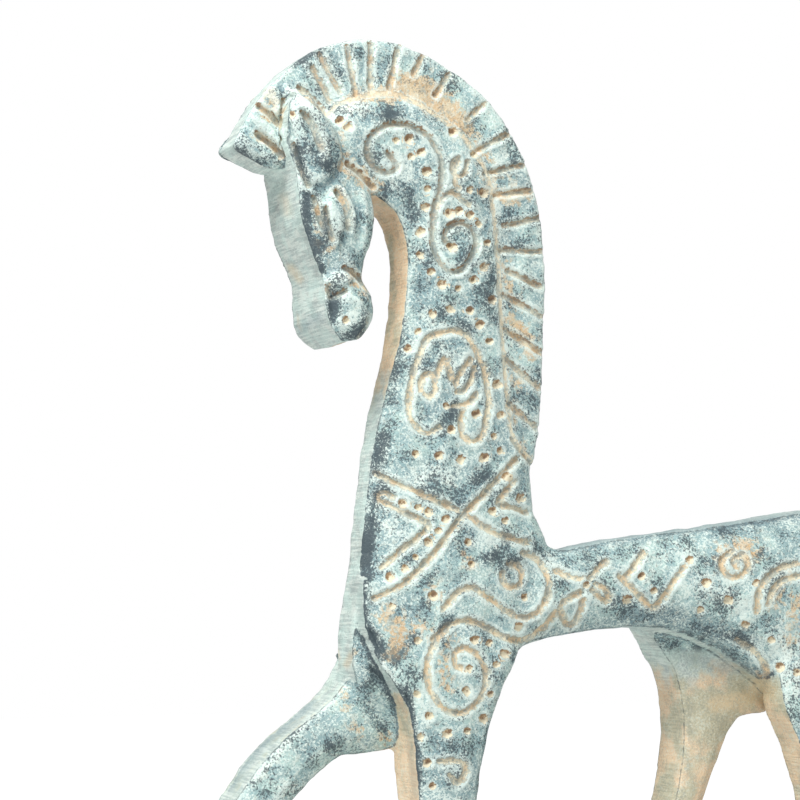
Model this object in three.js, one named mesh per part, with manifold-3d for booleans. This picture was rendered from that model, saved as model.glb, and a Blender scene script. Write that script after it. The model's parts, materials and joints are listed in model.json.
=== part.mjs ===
// Bronze horse statuette in the Greek geometric manner, standing on a low plinth.
// Millimetres, +Z up. The horse walks towards -X and its left side is at -Y.
// The origin is the centre of the plinth's underside.

import * as THREE from 'three';
import { mergeVertices } from 'three/addons/utils/BufferGeometryUtils.js';
import Module from 'manifold-3d';

const wasm = await Module();
wasm.setup();

// Driving dimensions of the plinth
const PLINTH_LENGTH = 136;
const PLINTH_WIDTH = 50;
const PLINTH_HEIGHT = 10;
const PLINTH_CHAMFER = 1.2;

// Driving dimensions of the casting, all measured across the horse, along Y
const CREST_THICK = 8;
const CREST_EDGE = 7;
const NECK_THICK = 12.5;
const SHOULDER_THICK = 18.5;
const WAIST_THICK = 14.5;
const HAUNCH_THICK = 24;
const HEAD_THICK = 17.5;
const MUZZLE_THICK = 19;
const THIGH_THICK = 12.5;
const CANNON_THICK = 9.5;
const HOOF_THICK = 11.5;
const TAIL_THICK = 9;

// How far each leg's middle lies from the horse's middle plane
const FORELEG_OFFSET = 4.3;
const HINDLEG_OFFSET = 5.6;

// The side of a limb bulges as this power of a sine from its front edge to its back edge
const BULGE_POWER = 0.6;
const BODY_POINTS_ACROSS = 7;
const LEG_POINTS_ACROSS = 5;

// Carving
const GROOVE_WIDTH = 1.8;
const GROOVE_DEPTH = 0.7;
const EYE_LENGTH = 9;
const EYE_WIDTH = 4.2;
const EYE_PLACE = [-63.3, 191.3];
const EYE_LEAN = -0.25;
const EAR_LENGTH = 19;
const EAR_WIDTH = 9;
const EAR_PLACE = [-67.2, 205];
const EAR_LEAN = -0.32;
const EAR_OUT = 7;
const RELIEF_HEIGHT = 1.3;
const NOSTRIL_RADIUS = 1.1;
const NOSTRIL_PLACE = [-61.2, 171.6];
const CARVING_SIDES = 12;

const BRONZE = { color: 0x7fa39a, roughness: 0.75, metalness: 0.35 };

// One cut across a limb: a front and a back point [x, z] in the horse's plane, the limb's
// thickness in its middle, and the widths of its front and back edges.
const cut = (front, back, thick, frontEdge, backEdge) => ({ front, back, thick, frontEdge, backEdge });

// The neck, from between the forelegs up to the poll
const NECK = [
  cut([-53, 98], [-38, 96], 3.4, 3, 3),
  cut([-57.2, 108], [-28, 107], 13, 7, 8),
  cut([-56.8, 117], [-19, 117], SHOULDER_THICK, 7.5, 8),
  cut([-55.3, 128], [-16, 129.5], 17.5, 5.5, 8),
  cut([-54.2, 138], [-19.6, 137], 15.5, 5, 7.5),
  cut([-53, 147.3], [-20.5, 146.5], 14, 5.5, 8.5),
  cut([-50.6, 158.5], [-25.3, 158.4], 13, 6.5, 9),
  cut([-47.8, 168.5], [-26.2, 170], NECK_THICK, 7.5, 9),
  cut([-46.4, 180], [-27.2, 185], NECK_THICK, 8.5, 9),
  cut([-46.6, 187.5], [-28.7, 198], NECK_THICK, 9, 9),
  cut([-49, 193.3], [-34.5, 208.5], NECK_THICK, 10, 9),
  cut([-54.6, 196.5], [-45, 214.5], NECK_THICK, 11, 9),
  cut([-60, 200], [-57.5, 213.7], 13, 11, 9),
  cut([-64, 203.5], [-63.5, 210.5], 12, 9, 9),
];

// The crest, from the tip of the forelock over the poll and down to the withers
const CREST = [
  cut([-81.3, 203.6], [-80.4, 202.4], CREST_THICK, 6, 6),
  cut([-77.2, 211], [-72.5, 199.6], CREST_THICK, CREST_EDGE, 7),
  cut([-70.6, 218.8], [-65.5, 206], CREST_THICK, CREST_EDGE, 7),
  cut([-63.8, 223.6], [-60.5, 208], CREST_THICK, CREST_EDGE, 7),
  cut([-53.5, 226.2], [-52.5, 210], CREST_THICK, CREST_EDGE, 7),
  cut([-44, 224.8], [-45.5, 210], CREST_THICK, CREST_EDGE, 7),
  cut([-35.6, 221.4], [-39.5, 206.5], CREST_THICK, CREST_EDGE, 7),
  cut([-28.2, 216], [-35, 202], CREST_THICK, CREST_EDGE, 7),
  cut([-22.8, 209], [-32, 197.5], CREST_THICK, CREST_EDGE, 7),
  cut([-18.9, 200.2], [-30.5, 193], CREST_THICK, CREST_EDGE, 7),
  cut([-17, 190.7], [-30, 187.5], CREST_THICK, CREST_EDGE, 7),
  cut([-16.6, 180], [-29.5, 179], CREST_THICK, CREST_EDGE, 7),
  cut([-17.2, 168], [-29, 168], CREST_THICK, CREST_EDGE, 7),
  cut([-17.7, 156], [-28, 157], CREST_THICK, CREST_EDGE, 7),
  cut([-19.6, 146], [-23.5, 147.5], CREST_THICK, CREST_EDGE, 7),
];

// The head, from the tip of the ears down to the lips
const HEAD = [
  cut([-72.3, 213.5], [-68.5, 214], 9, 7, 7),
  cut([-72.6, 206.5], [-62.5, 208.5], 14, 12, 10),
  cut([-70.7, 200.2], [-59, 201], 17, 16, 11),
  cut([-69.9, 195], [-54.8, 196.2], HEAD_THICK, 16.5, 12),
  cut([-69.3, 190], [-53.8, 191.5], HEAD_THICK, 16.5, 12),
  cut([-67.5, 184.8], [-55, 185.8], HEAD_THICK, 16.5, 12),
  cut([-65.2, 179.5], [-56.7, 180], 17, 16.2, 12),
  cut([-64.7, 174], [-54.9, 176.5], MUZZLE_THICK, 17.5, 14),
  cut([-63.6, 170.3], [-54.7, 172.2], MUZZLE_THICK, 17.5, 14),
  cut([-60.9, 167.5], [-56.8, 168.6], 16, 14, 12),
];

// The barrel, from inside the shoulder back to the rump
const BARREL = [
  cut([-28, 142], [-38, 99], 12, 8, 7),
  cut([-19.4, 134], [-27.8, 104.8], 15, 7, 7),
  cut([-14.8, 129.9], [-22.4, 111], 15.5, 6.5, 7),
  cut([-5, 131.4], [-14, 113.3], WAIST_THICK, 6.5, 7),
  cut([6, 132.8], [-2.5, 114.5], WAIST_THICK, 7, 7),
  cut([20, 134.7], [9, 114.3], 18, 8, 6),
  cut([33, 136.5], [20.5, 110.5], 22, 9, 6),
  cut([45, 138.3], [33.5, 102.6], HAUNCH_THICK, 10, 8),
  cut([55, 137.5], [46, 98], HAUNCH_THICK, 11, 13),
  cut([62.5, 132.5], [57, 101], 22, 12, 14),
  cut([66, 124], [62.5, 108], 17, 11, 12),
];

const NEAR_FORELEG = [
  cut([-56, 124], [-24, 121], 6.5, 4, 4),
  cut([-56, 114.5], [-24.5, 110.5], 11, 6, 6),
  cut([-52, 106.3], [-27.4, 105.6], THIGH_THICK, 9, 7),
  cut([-48.2, 100], [-30, 100], THIGH_THICK, 10, 7),
  cut([-47, 92], [-32.2, 92], THIGH_THICK, 10.5, 7),
  cut([-46.2, 83], [-33.8, 83], 12, 10, 7),
  cut([-45.6, 74], [-34.8, 74], 10.5, 8, 7),
  cut([-46.2, 66], [-34.8, 66], 10.8, 8, 7.5),
  cut([-44.8, 58], [-36.3, 58], 10, 7.5, 7),
  cut([-44, 45], [-37, 45], CANNON_THICK, 7, 6.5),
  cut([-43.5, 30], [-36.9, 30], CANNON_THICK, 7, 6.5),
  cut([-44.7, 23.5], [-35.4, 23.5], 10.2, 7.5, 7),
  cut([-45.5, 18.5], [-36.4, 19], 10, 8, 7.5),
  cut([-48.5, PLINTH_HEIGHT], [-35.3, PLINTH_HEIGHT], HOOF_THICK, 9, 9),
];

const RAISED_FORELEG = [
  cut([-52, 120], [-30, 108], 6.5, 4, 4),
  cut([-56, 108], [-39, 95.5], 11.5, 8, 6),
  cut([-58.6, 103.2], [-49.5, 92], THIGH_THICK, 9, 7),
  cut([-63, 99.4], [-57.5, 91.2], 12, 9, 7),
  cut([-69.2, 94.8], [-62.5, 88.2], 11.5, 9, 7),
  cut([-74.6, 89.4], [-67.1, 83.8], 11, 9, 7),
  cut([-80, 82], [-71.5, 78.3], 10.8, 8.5, 7),
  cut([-86.2, 75], [-74.6, 73], 10.8, 8, 7.5),
  cut([-86.2, 68.5], [-77, 67.5], 10.4, 7.5, 7),
  cut([-84, 60], [-77, 60.5], CANNON_THICK, 7, 6.5),
  cut([-81.5, 50], [-75, 51], CANNON_THICK, 7, 6.5),
  cut([-80.8, 43], [-72, 45], 10, 7.5, 7),
  cut([-79.5, 38], [-70.5, 40], 10, 8, 7.5),
  cut([-79.5, 30], [-67.5, 34], 11, 9, 9),
];

const NEAR_HINDLEG = [
  cut([40, 130], [56, 130], 5, 3, 3),
  cut([33, 111], [63, 114], 11, 6, 6),
  cut([33.4, 99.4], [61.2, 102], THIGH_THICK, 8, 8),
  cut([37.3, 90.7], [55.5, 91], 12, 8, 7.5),
  cut([40.7, 79.8], [51, 81], 11, 8, 7),
  cut([41.5, 73], [50.3, 74.5], 10.5, 7.5, 7),
  cut([41.5, 67], [52.6, 68.5], 10.5, 7.5, 7),
  cut([42, 60], [50.5, 61], 10, 7.5, 7),
  cut([42.5, 48], [49, 49], CANNON_THICK, 7, 6.5),
  cut([42.5, 32], [48.7, 33], CANNON_THICK, 7, 6.5),
  cut([41.8, 23.5], [50.5, 24.5], 10.2, 7.5, 7),
  cut([41, 18.5], [50, 19.5], 10, 8, 7.5),
  cut([38.5, PLINTH_HEIGHT], [52, PLINTH_HEIGHT], HOOF_THICK, 9, 9),
];

const FAR_HINDLEG = [
  cut([10, 126], [42, 124], 5, 3, 3),
  cut([8.2, 115.4], [40, 109], 10.5, 8, 8),
  cut([14.2, 106.8], [36.2, 97.4], THIGH_THICK, 9.5, 8),
  cut([16.4, 97.5], [29.6, 96.6], 12.3, 9.5, 7.5),
  cut([16, 88.5], [24.8, 88.5], 12, 9.5, 7),
  cut([14.2, 80.2], [21.2, 80.2], 11.5, 9, 7),
  cut([11.8, 72.5], [19.2, 73], 11, 8.5, 7),
  cut([10.6, 66], [20.6, 67.5], 10.8, 8, 7),
  cut([9.8, 59], [17.6, 60], 10, 7.5, 7),
  cut([8.5, 47], [15, 48], CANNON_THICK, 7, 6.5),
  cut([7, 32], [13.3, 33], CANNON_THICK, 7, 6.5),
  cut([5.6, 23.5], [14.4, 24.5], 10.2, 7.5, 7),
  cut([4.5, 18.5], [13.5, 19.5], 10, 8, 7.5),
  cut([1.5, PLINTH_HEIGHT], [14.8, PLINTH_HEIGHT], HOOF_THICK, 9, 9),
];

const TAIL = [
  cut([56, 137], [58, 122], 12, 8, 8),
  cut([64, 135.5], [63.5, 123.5], 11, 7.5, 7.5),
  cut([71, 132.5], [67.5, 121.5], 10, 7, 7),
  cut([77.5, 125.5], [70.5, 117.5], TAIL_THICK, 6.5, 6.5),
  cut([81.5, 115], [73.3, 111.5], TAIL_THICK, 6, 6),
  cut([83, 100], [75, 100], TAIL_THICK, 6, 6),
  cut([82.5, 84], [75, 85], TAIL_THICK, 6, 6),
  cut([81, 68], [74.5, 69], 8.5, 5.5, 5.5),
  cut([79.5, 52], [74.2, 53], 8, 5, 5),
  cut([78.2, 41], [74.8, 42], 6.5, 4.5, 4.5),
  cut([76.9, 37.4], [75.9, 37.8], 3.5, 2.5, 2.5),
];

// Each mane groove as an outer and an inner point [x, z], from the poll to the withers
const MANE_GROOVES = [
  [[-65.8, 220.5], [-62.4, 213.4]],
  [[-62.6, 223], [-59.9, 214.8]],
  [[-58.7, 225], [-56.9, 216]],
  [[-53.8, 225.6], [-53.6, 216.6]],
  [[-48.2, 225], [-49.9, 216.5]],
  [[-43.2, 223.9], [-45.6, 216]],
  [[-37.5, 221.6], [-41, 214.5]],
  [[-30, 216.4], [-34.6, 210.5]],
  [[-24.6, 210.6], [-31.4, 206]],
  [[-21, 204.5], [-29.6, 202]],
  [[-18.8, 199.5], [-28, 197.5]],
  [[-17.4, 194], [-27.2, 191.6]],
  [[-16.8, 187.6], [-26.8, 186.4]],
  [[-16.7, 180.8], [-26.2, 182.6]],
  [[-16.9, 174.6], [-26, 177.6]],
  [[-17.3, 167.8], [-25.8, 172]],
  [[-17.7, 161], [-25.6, 166]],
  [[-18.4, 153.2], [-25, 158]],
];

// The two grooves that part the forelock into tufts, and the upright one in front of the ear
const FORELOCK_GROOVES = [
  [[-76.6, 211.2], [-72.1, 208]],
  [[-76.8, 206], [-71.6, 202.4]],
  [[-71.8, 212.7], [-71.4, 204.1]],
];

// The slit of the mouth on each cheek
const MOUTH = [[-56.6, 172.3], [-58.4, 168.9]];
const MOUTH_SURFACE = 8.6;

// A smooth curve through points [x, z] of the horse's plane
function planeCurve(points) {
  const inPlane = points.map(([x, z]) => new THREE.Vector3(x, 0, z));
  return new THREE.CatmullRomCurve3(inPlane, false, 'centripetal');
}

// A value read between the cuts of a limb, at u from 0 to 1
function between(cuts, key, u) {
  const place = u * (cuts.length - 1);
  const low = Math.min(Math.floor(place), cuts.length - 2);
  return THREE.MathUtils.lerp(cuts[low][key], cuts[low + 1][key], place - low);
}

// A closed skin over rings of points, each ring with the same number of points
function skin(rings) {
  const count = rings[0].length;
  const positions = rings.flat().flatMap((point) => [point.x, point.y, point.z]);
  const faces = [];
  for (let ring = 0; ring + 1 < rings.length; ring += 1) {
    for (let k = 0; k < count; k += 1) {
      const a = ring * count + k;
      const b = ring * count + ((k + 1) % count);
      faces.push(a, b, b + count, a, b + count, a + count);
    }
  }
  const last = (rings.length - 1) * count;
  for (let k = 1; k + 1 < count; k += 1) {
    faces.push(0, k + 1, k, last, last + k, last + k + 1);
  }
  return { positions, faces };
}

// A manifold solid from plain positions and faces
function solidFrom({ positions, faces }) {
  const mesh = new wasm.Mesh({
    numProp: 3,
    vertProperties: new Float32Array(positions),
    triVerts: new Uint32Array(faces),
  });
  return new wasm.Manifold(mesh);
}

// A manifold solid from a closed three.js geometry
function solidOf(geometry) {
  const bare = geometry.clone();
  bare.deleteAttribute('normal');
  bare.deleteAttribute('uv');
  const merged = mergeVertices(bare);
  return solidFrom({ positions: merged.attributes.position.array, faces: merged.index.array });
}

// A limb lofted through its cuts, with its middle at y = offset
function limb(cuts, offset = 0, stepsPerCut = 3, pointsAcross = BODY_POINTS_ACROSS) {
  const front = planeCurve(cuts.map((c) => c.front));
  const back = planeCurve(cuts.map((c) => c.back));
  const steps = (cuts.length - 1) * stepsPerCut;
  const rings = [];
  for (let step = 0; step <= steps; step += 1) {
    const u = step / steps;
    const near = [];
    const far = [];
    for (let k = 0; k <= pointsAcross; k += 1) {
      const s = (1 - Math.cos((Math.PI * k) / pointsAcross)) / 2;
      const middle = front.getPoint(u).lerp(back.getPoint(u), s);
      const edge = THREE.MathUtils.lerp(between(cuts, 'frontEdge', u), between(cuts, 'backEdge', u), s);
      const bulge = (between(cuts, 'thick', u) - edge) * Math.sin(Math.PI * s) ** BULGE_POWER;
      const half = (edge + (k > 0 && k < pointsAcross ? bulge : 0)) / 2;
      near.push(new THREE.Vector3(middle.x, offset - half, middle.z));
      far.unshift(new THREE.Vector3(middle.x, offset + half, middle.z));
    }
    rings.push([...near, ...far]);
  }
  const shape = skin(rings);
  const solid = solidFrom(shape);
  if (solid.volume() > 0) {
    return solid;
  }
  const turned = [];
  for (let face = 0; face < shape.faces.length; face += 3) {
    turned.push(shape.faces[face], shape.faces[face + 2], shape.faces[face + 1]);
  }
  return solidFrom({ positions: shape.positions, faces: turned });
}

// A bar with a square section standing on its edge, laid from one point to another so that it
// cuts a V groove into a face at y = surface
function grooveBar([[x0, z0], [x1, z1]], surface) {
  const run = Math.hypot(x1 - x0, z1 - z0);
  const size = GROOVE_WIDTH / Math.SQRT2;
  const bar = new THREE.BoxGeometry(run, size, size);
  bar.rotateX(Math.PI / 4);
  bar.rotateY(-Math.atan2(z1 - z0, x1 - x0));
  const lift = GROOVE_WIDTH / 2 - GROOVE_DEPTH;
  bar.translate((x0 + x1) / 2, surface + Math.sign(surface) * lift, (z0 + z1) / 2);
  return solidOf(bar);
}

// A flattened egg on the side of the head, leaning back from upright by an angle
function boss([x, z], length, width, height, lean, y) {
  const egg = new THREE.SphereGeometry(1, CARVING_SIDES, CARVING_SIDES / 2);
  egg.scale(width / 2, height, length / 2);
  egg.rotateY(lean);
  egg.translate(x, y, z);
  return solidOf(egg);
}

function horseSolid() {
  let horse = wasm.Manifold.union([
    limb(NECK, 0, 2),
    limb(CREST),
    limb(HEAD, 0, 2),
    limb(BARREL),
    limb(NEAR_FORELEG, -FORELEG_OFFSET, 2, LEG_POINTS_ACROSS),
    limb(RAISED_FORELEG, FORELEG_OFFSET, 2, LEG_POINTS_ACROSS),
    limb(NEAR_HINDLEG, -HINDLEG_OFFSET, 2, LEG_POINTS_ACROSS),
    limb(FAR_HINDLEG, HINDLEG_OFFSET, 2, LEG_POINTS_ACROSS),
    limb(TAIL, 0, 2, LEG_POINTS_ACROSS),
  ]);
  for (const side of [-1, 1]) {
    for (const groove of [...MANE_GROOVES, ...FORELOCK_GROOVES]) {
      horse = horse.subtract(grooveBar(groove, (side * CREST_THICK) / 2));
    }
    horse = horse.subtract(grooveBar(MOUTH, side * MOUTH_SURFACE));
    const ear = boss(EAR_PLACE, EAR_LENGTH, EAR_WIDTH, RELIEF_HEIGHT * 2, EAR_LEAN, side * EAR_OUT);
    const eye = boss(EYE_PLACE, EYE_LENGTH, EYE_WIDTH, RELIEF_HEIGHT, EYE_LEAN, (side * HEAD_THICK) / 2);
    const nostril = new THREE.SphereGeometry(NOSTRIL_RADIUS, CARVING_SIDES, CARVING_SIDES / 2);
    nostril.translate(NOSTRIL_PLACE[0], (side * MUZZLE_THICK) / 2, NOSTRIL_PLACE[1]);
    horse = horse.add(ear).add(eye).subtract(solidOf(nostril));
  }
  return horse;
}

// The plinth is a plain block with its upper edges chamfered
function plinthGeometry() {
  const half = [PLINTH_LENGTH / 2 - PLINTH_CHAMFER, PLINTH_WIDTH / 2 - PLINTH_CHAMFER];
  const outline = new THREE.Shape([
    new THREE.Vector2(-half[0], -half[1]),
    new THREE.Vector2(half[0], -half[1]),
    new THREE.Vector2(half[0], half[1]),
    new THREE.Vector2(-half[0], half[1]),
  ]);
  const block = new THREE.ExtrudeGeometry(outline, {
    depth: PLINTH_HEIGHT - 2 * PLINTH_CHAMFER,
    bevelThickness: PLINTH_CHAMFER,
    bevelSize: PLINTH_CHAMFER,
    bevelSegments: 1,
  });
  block.translate(0, 0, PLINTH_CHAMFER);
  return block;
}

// A three.js geometry from a manifold solid
function geometryOf(solid) {
  const mesh = solid.getMesh();
  const geometry = new THREE.BufferGeometry();
  geometry.setAttribute('position', new THREE.Float32BufferAttribute(mesh.vertProperties, 3));
  geometry.setIndex(new THREE.Uint32BufferAttribute(mesh.triVerts, 1));
  geometry.computeVertexNormals();
  return geometry;
}

function namedMesh(name, geometry) {
  const mesh = new THREE.Mesh(geometry, new THREE.MeshStandardMaterial(BRONZE));
  mesh.name = name;
  return mesh;
}

const group = new THREE.Group();
group.add(namedMesh('horse', geometryOf(horseSolid())));
group.add(namedMesh('plinth', plinthGeometry()));

export default group;
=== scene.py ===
# %% [markdown]
# This lesson finishes a small bronze horse in the Greek geometric manner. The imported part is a
# plain casting with the right outline and thickness. Here it gets the things that a caster and
# a finisher add: soft seams, ornament punched into its flanks, filed edges and a green patina.

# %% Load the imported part
import json
import math

import bpy
import numpy as np
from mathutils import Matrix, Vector
from mathutils.bvhtree import BVHTree
from mathutils.kdtree import KDTree

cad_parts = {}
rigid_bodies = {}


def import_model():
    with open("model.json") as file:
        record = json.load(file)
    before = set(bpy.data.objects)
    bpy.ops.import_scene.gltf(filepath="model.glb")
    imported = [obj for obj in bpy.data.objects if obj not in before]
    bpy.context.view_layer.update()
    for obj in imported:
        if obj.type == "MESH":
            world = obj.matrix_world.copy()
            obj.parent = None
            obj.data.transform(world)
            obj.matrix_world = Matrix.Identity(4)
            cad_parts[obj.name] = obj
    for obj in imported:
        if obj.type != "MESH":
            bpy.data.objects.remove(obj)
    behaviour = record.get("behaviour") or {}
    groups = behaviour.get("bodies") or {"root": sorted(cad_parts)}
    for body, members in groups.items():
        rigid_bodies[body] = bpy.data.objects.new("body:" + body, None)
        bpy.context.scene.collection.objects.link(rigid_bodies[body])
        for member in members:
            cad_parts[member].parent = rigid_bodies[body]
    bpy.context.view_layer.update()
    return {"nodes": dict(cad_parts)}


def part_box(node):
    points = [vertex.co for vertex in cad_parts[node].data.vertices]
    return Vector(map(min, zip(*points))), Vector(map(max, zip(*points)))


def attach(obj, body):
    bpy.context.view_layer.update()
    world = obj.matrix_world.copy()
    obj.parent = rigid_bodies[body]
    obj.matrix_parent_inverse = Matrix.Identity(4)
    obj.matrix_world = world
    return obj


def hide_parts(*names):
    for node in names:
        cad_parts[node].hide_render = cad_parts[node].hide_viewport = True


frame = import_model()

MM = 0.001

# %% [markdown]
# The camera comes first, because the ornament is drawn through it. The photograph was taken a
# little below the middle of the horse, from its left and a little behind square, with a long
# lens. A long lens is used here too, so that the neck and the rump keep their true proportions.

# %% The camera
AZIMUTH = math.radians(-24)
ELEVATION = math.radians(-5)
PHOTO_SIDE = 800
FOCAL_PIXELS = 2200
AIM = Vector((-46, 0, 158)) * MM
STAND_OFF = 418 * MM

back = Vector((
    math.sin(AZIMUTH) * math.cos(ELEVATION),
    -math.cos(AZIMUTH) * math.cos(ELEVATION),
    math.sin(ELEVATION),
))
right = Vector((math.cos(AZIMUTH), math.sin(AZIMUTH), 0))
up = back.cross(right)
eye_point = AIM + back * STAND_OFF

bpy.ops.object.camera_add(location=eye_point)
camera = bpy.context.object
camera.rotation_mode = "QUATERNION"
camera.rotation_quaternion = (-back).to_track_quat("-Z", "Y")
camera.data.lens = camera.data.sensor_width * FOCAL_PIXELS / PHOTO_SIDE
camera.data.clip_start = 0.01
bpy.context.scene.camera = camera
print("lens, mm:", round(camera.data.lens, 1))


def seen_at(places):
    """The photograph's pixel (across, down) at which the camera sees each place."""
    ahead = places - np.array(eye_point)
    depth = -(ahead @ np.array(back))
    across = PHOTO_SIDE / 2 + FOCAL_PIXELS * (ahead @ np.array(right)) / depth
    down = PHOTO_SIDE / 2 - FOCAL_PIXELS * (ahead @ np.array(up)) / depth
    return np.stack([across, down], 1)


# %% [markdown]
# The real horse is one casting, so it is one piece here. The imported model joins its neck, legs
# and barrel with hard seams. A copy of it is merged and remeshed into one even skin of small
# squares. A remesh was chosen over a subdivision surface because it keeps every outline and
# gives the carving an even skin to move.

# %% One skin for the casting
SKIN_STEP = 0.42 * MM


def take(piece):
    """Makes this piece the only one that the next operator acts on."""
    bpy.ops.object.select_all(action="DESELECT")
    piece.select_set(True)
    bpy.context.view_layer.objects.active = piece


def apply_last(piece):
    """Applies the modifier that was just added to the piece."""
    take(piece)
    bpy.ops.object.modifier_apply(modifier=piece.modifiers[-1].name)


horse = bpy.data.objects.new("cast_horse", frame["nodes"]["horse"].data.copy())
bpy.context.scene.collection.objects.link(horse)
take(horse)
bpy.ops.object.mode_set(mode="EDIT")
bpy.ops.mesh.select_all(action="SELECT")
bpy.ops.mesh.remove_doubles(threshold=0.01 * MM)
bpy.ops.object.mode_set(mode="OBJECT")

remesh = horse.modifiers.new("even skin", "REMESH")
remesh.mode = "VOXEL"
remesh.voxel_size = SKIN_STEP
apply_last(horse)
horse.data.materials.clear()
print("corners of the even skin:", len(horse.data.vertices))

# %% [markdown]
# The skin is now read into arrays, because carving moves hundreds of thousands of corners.
# Each corner knows its neighbours, so that a value can be blurred along the surface.

# %% Arrays for the skin


def read(mesh, name, width):
    """One property of every corner of a mesh, as rows of numbers."""
    values = np.empty(len(mesh.vertices) * width, np.float32)
    mesh.vertices.foreach_get(name, values)
    return values.reshape(-1, width).astype(float)


def edge_ends(mesh):
    """The two corners of every edge."""
    ends = np.empty(len(mesh.edges) * 2, np.int32)
    mesh.edges.foreach_get("vertices", ends)
    return ends.reshape(-1, 2)


def blur(values, ends, times):
    """Each corner's value replaced by the mean of its own and its neighbours', several times."""
    count = len(values)
    rows = values.reshape(count, -1).copy()
    share = 1 + np.bincount(ends.ravel(), minlength=count)
    for _ in range(times):
        total = rows.copy()
        for column in range(rows.shape[1]):
            total[:, column] += np.bincount(ends[:, 0], rows[ends[:, 1], column], count)
            total[:, column] += np.bincount(ends[:, 1], rows[ends[:, 0], column], count)
        rows = total / share[:, None]
    return rows.reshape(values.shape)


def unit(rows):
    """The rows made one long."""
    return rows / np.maximum(np.linalg.norm(rows, axis=1, keepdims=True), 1e-12)


def ramp(values, start, end):
    """A smooth rise from 0 at start to 1 at end."""
    share = np.clip((values - start) / (end - start), 0, 1)
    return share * share * (3 - 2 * share)


ends = edge_ends(horse.data)
skin = read(horse.data, "co", 3)
print("edges:", len(ends))

# %% [markdown]
# Where two limbs meet, a sand mould leaves a fillet and never a sharp inner corner. A corner
# lies in such a seam when its neighbours stand proud of it. Those places are found, widened a
# little, and only they are smoothed many times. The rest gets one light pass, which keeps the
# filed edges crisp.

# %% Fillets in the seams
SEAM_WIDTH_PASSES = 7
SEAM_PASSES = 60
HOLLOW_START = 0.004 * MM
HOLLOW_FULL = 0.03 * MM

skin = blur(skin, ends, 1)
facing = unit(blur(read(horse.data, "normal", 3), ends, 2))
hollow = ((blur(skin, ends, 2) - skin) * facing).sum(1)
seam = ramp(hollow, HOLLOW_START, HOLLOW_FULL)
seam = ramp(blur(seam, ends, SEAM_WIDTH_PASSES), 0.03, 0.25)
for _ in range(SEAM_PASSES):
    skin += (blur(skin, ends, 1) - skin) * seam[:, None]
horse.data.vertices.foreach_set("co", skin.astype(np.float32).ravel())
horse.data.update()
print("corners in seams:", int((seam > 0.5).sum()))

# %% [markdown]
# The carver's marks lie on the two flanks. A corner belongs to a flank when it faces sideways
# and nothing of the horse stands in front of it. The near flank and the narrow faces are looked
# up in the photograph's own pixels, and the far flank in their mirror image. The inner faces of
# the hind legs were never carved or painted, so they are kept apart.

# %% The flanks
HIND_LEG_TOP = 114 * MM

rough_facing = read(horse.data, "normal", 3)
facing = unit(blur(rough_facing, ends, 4))
plain_facing = unit(blur(facing, ends, 20))
sideways = np.abs(unit(blur(rough_facing, ends, 5))[:, 1])
side = np.where(plain_facing[:, 1] < 0, -1.0, 1.0)
skin_tree = BVHTree.FromObject(horse, bpy.context.evaluated_depsgraph_get())


def covered(places, directions, reach):
    """1 where a straight look from the place along the direction meets the horse again."""
    answer = np.zeros(len(places))
    start = places + directions * 0.3 * MM
    for k, (place, way) in enumerate(zip(start.tolist(), directions.tolist())):
        if skin_tree.ray_cast(place, way, reach)[0] is not None:
            answer[k] = 1
    return answer


outward = np.zeros_like(skin)
outward[:, 1] = side
hidden_side = blur(covered(skin, outward, 60 * MM), ends, 3)
from_middle = np.abs(skin[:, 1]) / MM
leg_side = (1 - ramp(from_middle, 3.0, 6.0)) * (1 - ramp(skin[:, 2], HIND_LEG_TOP - 8 * MM, HIND_LEG_TOP))
leg_side *= np.where(skin[:, 0] > 0, 1.0, (plain_facing[:, 1] > 0.2) * 1.0)
inner = np.maximum(ramp(hidden_side, 0.3, 0.7), blur(leg_side, ends, 2))
flank = ramp(np.abs(plain_facing[:, 1]), 0.35, 0.75) * (1 - inner)

mirrored = skin * np.stack([np.ones(len(skin)), -side, np.ones(len(skin))], 1)
looked_up = np.where((plain_facing[:, 1] < 0.25)[:, None], skin, mirrored)
pixel = seen_at(looked_up)
print("corners on the flanks:", int((flank > 0.5).sum()))

# %% [markdown]
# A line of the ornament is a smooth curve through a few points. It was cut into the wax with
# a blunt tool, which pushes up a low lip on both sides. The lines are kept as rows of close
# points, so that a corner's distance to the nearest one is its distance to the line.

# %% Lines and their points
STEP = 0.7


def flow(points, closed=False):
    """A smooth curve through the points, as points less than a pixel apart."""
    p = np.array(points, float)
    if closed:
        p = np.vstack([p[-1], p, p[0], p[1]])
    else:
        p = np.vstack([2 * p[0] - p[1], p, 2 * p[-1] - p[-2]])
    rows = []
    for a, b, c, d in zip(p[:-3], p[1:-2], p[2:-1], p[3:]):
        count = max(2, int(np.hypot(*(c - b)) / STEP))
        t = (np.arange(count) / count)[:, None]
        rows.append(0.5 * (
            2 * b + (c - a) * t + (2 * a - 5 * b + 4 * c - d) * t ** 2
            + (3 * b - a - 3 * c + d) * t ** 3
        ))
    rows.append(p[-2][None, :])
    return np.vstack(rows)


def beside(x, z, y=-9.0):
    """The pixel of a place given in millimetres, for marks beyond the photograph's edge."""
    return tuple(seen_at(np.array([[x, y, z]]) * MM)[0])


def curl(centre, radius, start, turns, squeeze=1.0):
    """Points of a spiral that closes in on its centre."""
    points = []
    for k in range(int(abs(turns) * 10) + 1):
        share = k / (abs(turns) * 10)
        angle = math.radians(start) + math.copysign(2 * math.pi, turns) * abs(turns) * share
        reach = radius * (1 - 0.8 * share)
        points.append((centre[0] + reach * squeeze * math.cos(angle), centre[1] - reach * math.sin(angle)))
    return points


# %% [markdown]
# The neck carries a large scroll that closes in a hook, a small inverted V, a ring and an arch
# with loops inside it. Two straps with a row of punched dots cross at its foot.

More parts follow.
